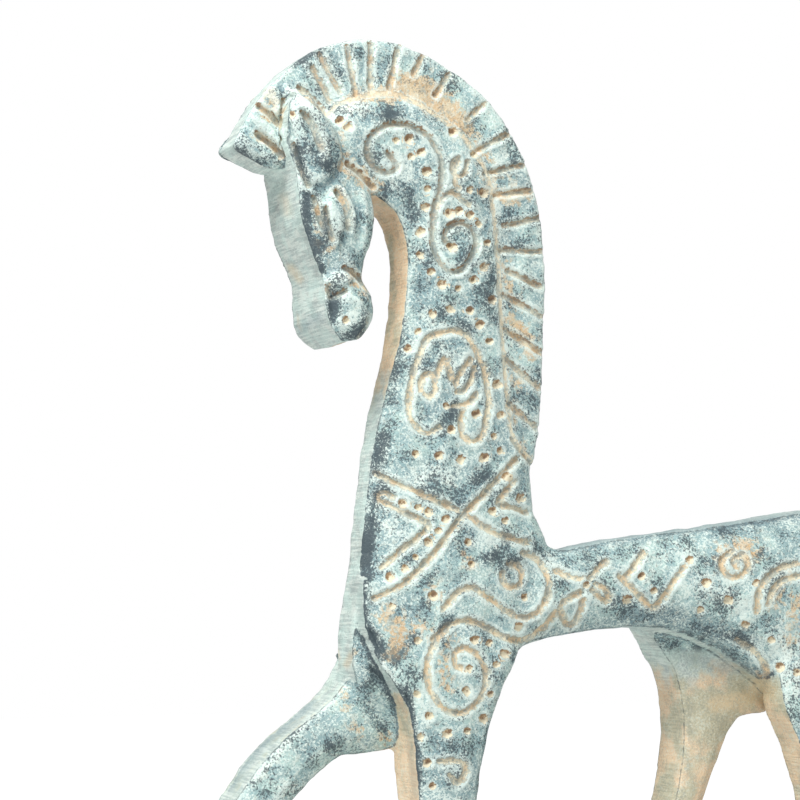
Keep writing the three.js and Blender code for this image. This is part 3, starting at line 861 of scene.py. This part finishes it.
# %% Skin and swing of the plinth
LINE_HALF = 0.9 * MM
remesh = plinth.modifiers.new("even skin", "REMESH")
remesh.mode = "VOXEL"
remesh.voxel_size = 0.8 * MM
apply_last(plinth)
block = read(plinth.data, "co", 3)
block_ends = edge_ends(plinth.data)
block = blur(block, block_ends, 2)
block_facing = unit(blur(read(plinth.data, "normal", 3), block_ends, 2))
upright = 1 - ramp(np.abs(block_facing[:, 2]), 0.3, 0.7)
line_height = low.z + size.z * 0.42
groove = np.exp(-((block[:, 2] - line_height) / LINE_HALF) ** 2) * upright
above_floor = ramp(block[:, 2], 0.2 * MM, 1.5 * MM)
block_swing = 0.14 * waves(block, 14 * MM, 21) + 0.05 * waves(block, 3.2 * MM, 22)
block_move = (block_swing - 0.15 - 0.45 * groove) * above_floor
block += block_facing * (block_move * MM)[:, None]
plinth.data.vertices.foreach_set("co", block.astype(np.float32).ravel())
plinth.data.update()
take(plinth)
bpy.ops.object.shade_smooth()
rim_height = ramp(block[:, 2], high.z - 2.2 * MM, high.z - 0.6 * MM)
from_line = (line_height - block[:, 2]) / LINE_HALF
block_layers = {
    "gap": np.clip(np.where(upright > 0.5, np.abs(from_line), FAR), 0, FAR),
    # Lit is the side of the line, so that the line's upper wall gets painted shade.
    "lit": np.clip(from_line, -FAR, FAR),
    # The rim under the top edge counts as proud, so the material paints it pale, partly as wear and partly as a painted
    # highlight.
    "proud": np.full(len(block), 0.5) + 0.3 * rim_height * upright,
}
for name, values in block_layers.items():
    layer = plinth.data.attributes.new(name, "FLOAT", "POINT")
    layer.data.foreach_set("value", values.astype(np.float32))
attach(plinth, "root")
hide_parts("plinth")
print("corners of the plinth:", len(plinth.data.vertices))

# %% [markdown]
# Patina is layers of metal salts over dark bronze. A node group is the recipe for one effect,
# and each material places it with its own amounts. The first helper adds a node and fills its
# sockets, by value or by link.

# %% Helpers for nodes


def tone(red, green, blue):
    """A colour as seen on a screen, 0 to 255, as the linear colour that a shader wants."""
    line = [c / 12.92 if c <= 0.04045 else ((c + 0.055) / 1.055) ** 2.4 for c in (red / 255, green / 255, blue / 255)]
    return (*line, 1.0)


def add(tree, kind, settings=None, **sockets):
    """A node with its settings, and its sockets set to values or linked."""
    node = tree.nodes.new("ShaderNode" + kind)
    for key, value in (settings or {}).items():
        setattr(node, key, value)
    for key, value in sockets.items():
        wire(tree, node, key.replace("_", " "), value)
    return node


def wire(tree, node, key, value):
    """Sets one socket of a node, found by name or by number, to a value or a link."""
    socket = node.inputs[int(key) if key.isdigit() else key]
    if isinstance(value, bpy.types.NodeSocket):
        tree.links.new(value, socket)
    else:
        socket.default_value = value


def math_node(tree, operation, first, second=0.0, clamp=False):
    """One sum on values."""
    node = add(tree, "Math", {"operation": operation, "use_clamp": clamp})
    wire(tree, node, "0", first)
    wire(tree, node, "1", second)
    return node.outputs[0]


def rise(tree, value, start, end, low=0.0, high=1.0):
    """A smooth step of a value."""
    node = add(tree, "MapRange", {"interpolation_type": "SMOOTHSTEP"})
    for key, given in zip(("Value", "From Min", "From Max", "To Min", "To Max"), (value, start, end, low, high)):
        wire(tree, node, key, given)
    return node.outputs[0]


def blend(tree, amount, under, over):
    """Lays one colour over another by an amount."""
    node = add(tree, "Mix", {"data_type": "RGBA"})
    wire(tree, node, "0", amount)
    wire(tree, node, "6", under)
    wire(tree, node, "7", over)
    return node.outputs[2]


def layer_of(tree, name):
    """A layer stored on the corners: patina, painted light and shade, or distances to lines and pits."""
    return add(tree, "Attribute", {"attribute_name": name}).outputs["Fac"]


def recipe(name, takes, gives):
    """An empty node group with named sockets."""
    tree = bpy.data.node_groups.new(name, "ShaderNodeTree")
    for label, kind, value in takes:
        socket = tree.interface.new_socket(label, in_out="INPUT", socket_type="NodeSocket" + kind)
        if value is not None:
            socket.default_value = value
    for label, kind in gives:
        tree.interface.new_socket(label, in_out="OUTPUT", socket_type="NodeSocket" + kind)
    return tree, tree.nodes.new("NodeGroupInput"), tree.nodes.new("NodeGroupOutput")


def place(tree, group, **sockets):
    """Places a recipe in a material with its own amounts."""
    node = tree.nodes.new("ShaderNodeGroup")
    node.node_tree = group
    for key, value in sockets.items():
        wire(tree, node, key.replace("_", " "), value)
    return node


# %% [markdown]
# The first recipe is the grain. Sand leaves a skin of tiny pits and grains, and the patina
# turns the pits charcoal and the grains mint. They gather in clusters with calm places
# between. Soot and salt say how much of each a place has.

# %% Recipe: sand grain
sand_grain, taken, given = recipe(
    "sand grain",
    [("Vector", "Vector", None), ("Grains", "Float", 2000.0), ("Clusters", "Float", 150.0),
     ("Gather", "Float", 0.5), ("Soot", "Float", 0.0), ("Salt", "Float", 0.0)],
    [("Dark", "Float"), ("Pale", "Float"), ("Height", "Float")],
)
t = sand_grain
vector, grains = taken.outputs["Vector"], taken.outputs["Grains"]
fine = add(t, "TexNoise", Vector=vector, Scale=grains, Detail=2.0, Roughness=0.75, Distortion=0.5)
shifted = add(t, "VectorMath", {"operation": "ADD"})
wire(t, shifted, "0", vector)
wire(t, shifted, "1", (0.37, 0.11, 0.23))
other = add(t, "TexNoise", Vector=shifted.outputs[0], Scale=grains, Detail=2.0, Roughness=0.75, Distortion=0.5)
cluster = add(t, "TexNoise", Vector=vector, Scale=taken.outputs["Clusters"], Detail=2.0)
gathered = math_node(t, "MULTIPLY", math_node(t, "SUBTRACT", cluster.outputs["Fac"], 0.5), taken.outputs["Gather"])
darker = math_node(t, "ADD", math_node(t, "ADD", fine.outputs["Fac"], gathered),
                   math_node(t, "MULTIPLY", taken.outputs["Soot"], 0.22))
paler = math_node(t, "ADD", math_node(t, "SUBTRACT", other.outputs["Fac"], math_node(t, "MULTIPLY", gathered, 0.5)),
                  math_node(t, "MULTIPLY", taken.outputs["Salt"], 0.18))
wire(t, given, "Dark", rise(t, darker, 0.53, 0.66))
wire(t, given, "Pale", rise(t, paler, 0.50, 0.64))
wire(t, given, "Height", math_node(t, "SUBTRACT", other.outputs["Fac"], fine.outputs["Fac"]))
print("recipe:", t.name, len(t.nodes), "nodes")

# %% [markdown]
# The second recipe is the cloud: broad, soft changes of tone where the acid pooled or ran.

# %% Recipe: pooled cloud
cloud_group, taken, given = recipe(
    "pooled cloud",
    [("Vector", "Vector", None), ("Size", "Float", 60.0), ("Edge", "Float", 0.15)],
    [("Cloud", "Float")],
)
t = cloud_group
soft = add(t, "TexNoise", Vector=taken.outputs["Vector"], Scale=taken.outputs["Size"], Detail=4.0, Roughness=0.6)
lower = math_node(t, "SUBTRACT", 0.5, taken.outputs["Edge"])
upper = math_node(t, "ADD", 0.5, taken.outputs["Edge"])
wire(t, given, "Cloud", rise(t, soft.outputs["Fac"], lower, upper))
print("recipe:", t.name, len(t.nodes), "nodes")

# %% [markdown]
# The third recipe is the file: long thin scratches across the narrow faces. The noise is
# stretched along the horse's width, which is the way the file moved.

# %% Recipe: file marks
file_group, taken, given = recipe(
    "file marks",
    [("Vector", "Vector", None), ("Marks", "Float", 2400.0), ("Length", "Float", 0.06)],
    [("Mark", "Float")],
)
t = file_group
stretch = add(t, "CombineXYZ", X=1.0, Y=taken.outputs["Length"], Z=1.0)
thin_space = add(t, "VectorMath", {"operation": "MULTIPLY"})
wire(t, thin_space, "0", taken.outputs["Vector"])
wire(t, thin_space, "1", stretch.outputs[0])
scratch = add(t, "TexNoise", Vector=thin_space.outputs[0], Scale=taken.outputs["Marks"], Detail=2.0)
wire(t, given, "Mark", rise(t, scratch.outputs["Fac"], 0.38, 0.62))
print("recipe:", t.name, len(t.nodes), "nodes")

# %% [markdown]
# The fourth recipe fills a furrow. Its upper wall, turned away from the light, gets umber as
# painted shade, its floor keeps ochre, its lower wall keeps pale chalk, and its lip is pale,
# partly rubbed and partly a painted highlight. Near is how far the middle of the furrow is and
# Lit how far down the light's way, both in half widths.

# %% Recipe: furrow fill
furrow_fill, taken, given = recipe(
    "furrow fill",
    [("Near", "Float", 3.0), ("Lit", "Float", 0.0), ("Wobble", "Float", 0.5)],
    [("Fill", "Float"), ("Shade", "Float"), ("Lip", "Float")],
)
t = furrow_fill
unrest = math_node(t, "SUBTRACT", taken.outputs["Wobble"], 0.5)
near = math_node(t, "ADD", taken.outputs["Near"], math_node(t, "MULTIPLY", unrest, 0.9))
lit = math_node(t, "ADD", taken.outputs["Lit"], math_node(t, "MULTIPLY", unrest, 0.7))
wire(t, given, "Fill", rise(t, near, 1.15, 0.7))
wire(t, given, "Shade", rise(t, lit, -0.15, -0.75))
wire(t, given, "Lip", math_node(t, "MULTIPLY", rise(t, near, 0.9, 1.25), rise(t, near, 2.1, 1.45)))
print("recipe:", t.name, len(t.nodes), "nodes")

# %% [markdown]
# The fifth recipe fills a punched pit in the same way. Its two offsets give a true circle, with
# umber up and to the left as painted shade, pale chalk in the lit part below, and a pale rim
# that is partly rubbed and partly a painted highlight.

# %% Recipe: pit fill
pit_fill, taken, given = recipe(
    "pit fill",
    [("Across", "Float", 3.0), ("Down", "Float", 3.0), ("Near", "Float", 3.0), ("Wobble", "Float", 0.5)],
    [("Bowl", "Float"), ("Shade", "Float"), ("Rim", "Float")],
)
t = pit_fill
unrest = math_node(t, "SUBTRACT", taken.outputs["Wobble"], 0.5)
offset = add(t, "CombineXYZ", X=taken.outputs["Across"], Y=taken.outputs["Down"])
length = add(t, "VectorMath", {"operation": "LENGTH"})
wire(t, length, "0", offset.outputs[0])
round_reach = math_node(t, "ADD", length.outputs["Value"], math_node(t, "MULTIPLY", unrest, 0.5))
close = rise(t, taken.outputs["Near"], 1.8, 1.5)
wire(t, given, "Bowl", math_node(t, "MULTIPLY", rise(t, round_reach, 1.1, 0.85), close))
toward = math_node(t, "ADD", math_node(t, "MULTIPLY", taken.outputs["Across"], 0.4), taken.outputs["Down"])
wire(t, given, "Shade", rise(t, math_node(t, "ADD", toward, unrest), 0.15, -0.5))
rim_ring = math_node(t, "MULTIPLY", rise(t, round_reach, 1.0, 1.15), rise(t, round_reach, 1.65, 1.3))
wire(t, given, "Rim", math_node(t, "MULTIPLY", rim_ring, close))
print("recipe:", t.name, len(t.nodes), "nodes")

# %% [markdown]
# The horse's patina lays the recipes over each other. The first layers are the teal ground in
# clouds, the brushed slate strokes with their painted shade, the pale strokes with their painted
# highlights, the tan strokes, and the mint and charcoal grains.

# %% The ground of the patina and its painted light and shade
# Slate: blue-grey patina, and also the colour of painted shade in hollows, under the haunch and on the belly.
SLATE_AND_SHADE = tone(112, 138, 146)
TEAL = tone(146, 178, 180)
MINT = tone(188, 216, 208)
# Salt: pale salts and grains, and also the colour of painted highlights on lips, rims, ridges and proud places.
SALT_AND_HIGHLIGHT = tone(224, 238, 230)
# Soot: charcoal grains and patina, and also the colour of painted shade in charcoal strokes and along the filed faces'
# border.
SOOT_AND_SHADE = tone(64, 78, 84)
CREAM = tone(236, 226, 196)
OCHRE = tone(214, 178, 130)
# Umber: painted shade on the upper walls of furrows and pits.
UMBER_SHADE = tone(138, 106, 74)
TAN = tone(216, 194, 156)
OLIVE = tone(176, 172, 146)
PEACH = tone(226, 198, 162)

patina = bpy.data.materials.new("patinated_bronze")
patina.use_nodes = True
t = patina.node_tree
t.nodes.clear()
spot = add(t, "TexCoord").outputs["Object"]
tan_stroke, charcoal_and_shade_stroke = layer_of(t, "tan"), layer_of(t, "charcoal_and_shade")
slate_and_shade_stroke, pale_and_highlight_stroke = layer_of(t, "slate_and_shade"), layer_of(t, "pale_and_highlight")
# The charcoal strokes, partly painted shade, crowd the dark grains, and the pale strokes, partly painted highlight,
# crowd the pale ones.
grain = place(t, sand_grain, Vector=spot, Grains=2300.0, Clusters=230.0, Gather=0.7,
              Soot=charcoal_and_shade_stroke, Salt=pale_and_highlight_stroke)
broad = place(t, cloud_group, Vector=spot, Size=75.0, Edge=0.14).outputs[0]
middle = place(t, cloud_group, Vector=spot, Size=260.0, Edge=0.12).outputs[0]
small = place(t, cloud_group, Vector=spot, Size=900.0, Edge=0.14).outputs[0]


def broken(layer, noise, raggedness):
    """A painted layer with its border broken up by a noise."""
    away = math_node(t, "MULTIPLY", math_node(t, "SUBTRACT", noise, 0.5), raggedness)
    return math_node(t, "ADD", layer, away)


def times(first, second):
    """Two masks together."""
    return math_node(t, "MULTIPLY", first, second)


ground = blend(t, rise(t, middle, 0.1, 0.9, 0.15, 0.85), TEAL, MINT)
ground = blend(t, times(broad, 0.55), ground, SLATE_AND_SHADE)
# Slate strokes: blue-grey patina, and painted shade under the haunch, on the belly and on the raised foreleg.
ground = blend(t, rise(t, broken(slate_and_shade_stroke, middle, 0.5), 0.15, 0.9, 0.0, 0.8), ground, SLATE_AND_SHADE)
# Pale strokes: salts, and painted highlights on the lip, the nostril and the ridge of the raised foreleg.
ground = blend(t, rise(t, broken(pale_and_highlight_stroke, small, 0.6), 0.2, 0.9, 0.0, 0.8), ground, SALT_AND_HIGHLIGHT)
ground = blend(t, rise(t, broken(tan_stroke, small, 0.7), 0.2, 0.8, 0.0, 0.9), ground, blend(t, middle, TAN, OCHRE))
ground = blend(t, times(grain.outputs["Pale"], rise(t, tan_stroke, 0.2, 0.8, 0.85, 0.35)), ground, SALT_AND_HIGHLIGHT)
print("nodes in the ground:", len(t.nodes))

# %% [markdown]
# Then come the lines and pits with their ochre and chalk and, on the walls turned from the light,
# an umber painted shade, and over them the charcoal grains, which lie in every small hollow.
# Proud places are pale, partly rubbed and partly a painted highlight, and hollow ones are darker
# slate, partly patina and partly painted shade. The charcoal strokes, partly painted shade, lie
# on top.

# %% Lines, pits, wear and painted light and shade of the patina
line = place(t, furrow_fill, Near=layer_of(t, "gap"), Lit=layer_of(t, "lit"), Wobble=small)
pit = place(t, pit_fill, Across=layer_of(t, "pit_x"), Down=layer_of(t, "pit_y"),
            Near=layer_of(t, "pit_reach"), Wobble=small)
ink, chalk, proud_layer = layer_of(t, "ink"), layer_of(t, "chalk"), layer_of(t, "proud")

# Proud places: pale, partly rubbed and partly painted highlight. Hollows: darker slate, partly patina and partly
# painted shade.
marked = blend(t, rise(t, broken(proud_layer, small, 0.3), 0.55, 0.95, 0.0, 0.6), ground, SALT_AND_HIGHLIGHT)
marked = blend(t, rise(t, broken(proud_layer, small, 0.3), 0.45, 0.1, 0.0, 0.55), marked, SLATE_AND_SHADE)
# The furrows' lips are pale, partly rubbed and partly a painted highlight.
marked = blend(t, times(line.outputs["Lip"], 0.45), marked, SALT_AND_HIGHLIGHT)
filling = blend(t, times(rise(t, middle, 0.2, 0.7), ink), CREAM, OCHRE)
# Umber painted shade on each furrow's upper wall, turned away from the light.
filling = blend(t, times(line.outputs["Shade"], ink), filling, blend(t, small, UMBER_SHADE, OCHRE))
amount = math_node(t, "MAXIMUM", times(chalk, rise(t, small, 0.1, 0.6, 0.45, 1.0)), times(line.outputs["Shade"], ink))
marked = blend(t, times(times(line.outputs["Fill"], amount), 0.9), marked, filling)
# The pits' rims are pale, partly rubbed and partly a painted highlight.
marked = blend(t, times(pit.outputs["Rim"], 0.5), marked, SALT_AND_HIGHLIGHT)
# Umber painted shade in the upper left of each pit, and pale chalk in its lit lower part.
in_pit = blend(t, pit.outputs["Shade"], CREAM, blend(t, small, UMBER_SHADE, OCHRE))
marked = blend(t, times(pit.outputs["Bowl"], 0.92), marked, in_pit)
clean = math_node(t, "MAXIMUM", times(line.outputs["Fill"], 0.6), times(pit.outputs["Bowl"], 0.7))
clean = math_node(t, "MAXIMUM", clean, rise(t, tan_stroke, 0.2, 0.9, 0.0, 0.4))
dark_amount = times(grain.outputs["Dark"], math_node(t, "SUBTRACT", 0.9, clean))
marked = blend(t, dark_amount, marked, SOOT_AND_SHADE)
# Charcoal strokes: dark patina, and painted shade beside the face, along the near edges and in the chest.
marked = blend(t, rise(t, broken(charcoal_and_shade_stroke, grain.outputs["Pale"], -0.5), 0.35, 1.0, 0.0, 0.75), marked, SOOT_AND_SHADE)
print("nodes with the marks:", len(t.nodes))

# %% [markdown]
# The filed faces come last, because the file cut through the patina. A dark ragged line
# follows their border, partly where the file's edge left the patina broken and partly as
# painted shade along the edge.

# %% Filed faces of the patina, with a painted shade line at their border
marks = place(t, file_group, Vector=spot, Marks=2300.0, Length=0.07).outputs[0]
sideways_layer, warm_layer = layer_of(t, "sideways"), layer_of(t, "warm")
border = broken(sideways_layer, small, 0.10)
filed = math_node(t, "MAXIMUM", rise(t, border, 0.40, 0.32), rise(t, layer_of(t, "inner"), 0.3, 0.7))
border_soot_and_shade = times(rise(t, border, 0.34, 0.42), rise(t, border, 0.62, 0.46))
file_cool = blend(t, marks, tone(168, 182, 178), tone(208, 218, 210))
file_cool = blend(t, times(middle, 0.5), file_cool, MINT)
file_warm = blend(t, rise(t, broad, 0.2, 0.8), OLIVE, PEACH)
file_warm = blend(t, times(marks, 0.3), file_warm, CREAM)
filed_tone = blend(t, rise(t, broken(warm_layer, middle, 0.3), 0.2, 0.8), file_cool, file_warm)
filed_tone = blend(t, times(rise(t, tan_stroke, 0.2, 0.8), 0.7), filed_tone, TAN)
# Slate strokes on the narrow faces: blue-grey patina, and painted shade on the undersides.
filed_tone = blend(t, times(rise(t, slate_and_shade_stroke, 0.2, 0.8), 0.6), filed_tone, SLATE_AND_SHADE)
filed_tone = blend(t, times(grain.outputs["Pale"], 0.3), filed_tone, SALT_AND_HIGHLIGHT)
filed_tone = blend(t, times(grain.outputs["Dark"], 0.3), filed_tone, tone(112, 124, 122))
surface = blend(t, filed, marked, filed_tone)
# A dark ragged line along the border: partly broken patina and partly painted shade.
surface = blend(t, times(border_soot_and_shade, rise(t, small, 0.2, 0.8, 0.2, 0.75)), surface, SOOT_AND_SHADE)
print("nodes with the filed faces:", len(t.nodes))

# %% [markdown]
# Last comes the feel of the surface. The grain, the file marks and the crisp borders of lines
# and pits are too small for the mesh, so they tilt the light with a bump. Salts are dull, and
# the filed faces have a little more gloss.

# %% Bump and gloss of the patina
grain_height = times(grain.outputs["Height"], rise(t, filed, 0.0, 1.0, 1.0, 0.25))
file_height = times(marks, rise(t, filed, 0.0, 1.0, 0.0, 0.25))
cut_height = math_node(t, "ADD", times(line.outputs["Fill"], -0.35), times(pit.outputs["Bowl"], -0.5))
lift = math_node(t, "ADD", math_node(t, "ADD", grain_height, file_height), cut_height)
bump = add(t, "Bump", Strength=0.8, Distance=0.00022, Height=lift)
gloss = rise(t, filed, 0.2, 0.8, 0.66, 0.5)
shader = add(t, "BsdfPrincipled", Roughness=gloss, Normal=bump.outputs[0])
wire(t, shader, "Base Color", surface)
add(t, "OutputMaterial", Surface=shader.outputs[0])
horse.data.materials.append(patina)
print("nodes of the patina:", len(t.nodes))

# %% [markdown]
# The plinth has the same recipes with quieter amounts, because its top was brushed.

# %% The plinth's patina, with painted light and shade
base_patina = bpy.data.materials.new("plinth_bronze")
base_patina.use_nodes = True
t = base_patina.node_tree
t.nodes.clear()
spot = add(t, "TexCoord").outputs["Object"]
grain = place(t, sand_grain, Vector=spot, Grains=1900.0, Clusters=120.0, Gather=0.8)
broad = place(t, cloud_group, Vector=spot, Size=55.0, Edge=0.18).outputs[0]
middle = place(t, cloud_group, Vector=spot, Size=240.0, Edge=0.14).outputs[0]
small = place(t, cloud_group, Vector=spot, Size=900.0, Edge=0.14).outputs[0]
line = place(t, furrow_fill, Near=layer_of(t, "gap"), Lit=layer_of(t, "lit"), Wobble=small)
ground = blend(t, middle, TEAL, MINT)
ground = blend(t, times(broad, 0.6), ground, SLATE_AND_SHADE)
ground = blend(t, times(grain.outputs["Pale"], 0.75), ground, SALT_AND_HIGHLIGHT)
# The line's lips are pale, partly rubbed and partly a painted highlight.
ground = blend(t, times(line.outputs["Lip"], 0.45), ground, SALT_AND_HIGHLIGHT)
# Umber painted shade on the line's upper wall, and pale chalk below.
filling = blend(t, line.outputs["Shade"], CREAM, blend(t, small, UMBER_SHADE, OCHRE))
ground = blend(t, times(line.outputs["Fill"], 0.85), ground, filling)
ground = blend(t, times(grain.outputs["Dark"], 0.75), ground, SOOT_AND_SHADE)
# A pale rim along the top edge, partly rubbed and partly a painted highlight.
ground = blend(t, rise(t, broken(layer_of(t, "proud"), small, 0.3), 0.55, 0.85, 0.0, 0.7), ground, SALT_AND_HIGHLIGHT)
bump = add(t, "Bump", Strength=0.6, Distance=0.00022, Height=grain.outputs["Height"])
shader = add(t, "BsdfPrincipled", Roughness=0.62, Normal=bump.outputs[0])
wire(t, shader, "Base Color", ground)
add(t, "OutputMaterial", Surface=shader.outputs[0])
plinth.data.materials.append(base_patina)
print("nodes of the plinth's patina:", len(t.nodes))

# %% [markdown]
# The photograph was taken on a white table in a bright white room. The far edge of the table
# is a faint line behind the legs. The camera sees a little glow from the table, which stands in
# for the photographer's bright exposure and doesn't light the horse.

# %% Table, room and lights
TABLE_EDGE = 2.1
TABLE_GLOW = 0.6
bpy.ops.object.select_all(action="DESELECT")
bpy.ops.mesh.primitive_plane_add(size=2 * TABLE_EDGE, location=(eye_point.x, eye_point.y, 0))
floor = bpy.context.object
floor.name = "white_table"
bpy.ops.object.transform_apply(location=True, rotation=True, scale=True)
white = bpy.data.materials.new("white_table")
white.use_nodes = True
paint_white = white.node_tree.nodes["Principled BSDF"]
paint_white.inputs["Base Color"].default_value = (0.92, 0.92, 0.92, 1)
paint_white.inputs["Roughness"].default_value = 0.9
paint_white.inputs["Emission Color"].default_value = (1, 1, 1, 1)
glow = white.node_tree.nodes.new("ShaderNodeLightPath")
glow_amount = math_node(white.node_tree, "MULTIPLY", glow.outputs["Is Camera Ray"], TABLE_GLOW)
wire(white.node_tree, paint_white, "Emission Strength", glow_amount)
floor.data.materials.append(white)

world = bpy.data.worlds.new("white room")
bpy.context.scene.world = world
world.use_nodes = True
room = world.node_tree.nodes["Background"]
room.inputs["Color"].default_value = (1, 1, 1, 1)
ray = world.node_tree.nodes.new("ShaderNodeLightPath")
strength = world.node_tree.nodes.new("ShaderNodeMapRange")
strength.inputs["To Min"].default_value = 0.45
strength.inputs["To Max"].default_value = 1.0
world.node_tree.links.new(ray.outputs["Is Camera Ray"], strength.inputs["Value"])
world.node_tree.links.new(strength.outputs["Result"], room.inputs["Strength"])


def softbox(name, place_mm, side_mm, watts):
    """A square soft light that looks at the horse."""
    where = Vector(place_mm) * MM
    bpy.ops.object.light_add(type="AREA", location=where)
    lamp = bpy.context.object
    lamp.name = name
    lamp.rotation_mode = "QUATERNION"
    lamp.rotation_quaternion = (where - AIM).to_track_quat("Z", "Y")
    lamp.data.size = side_mm * MM
    lamp.data.energy = watts
    return lamp


softbox("key above", (-320, -250, 620), 260, 4.6)
bpy.context.scene.view_settings.view_transform = "Standard"
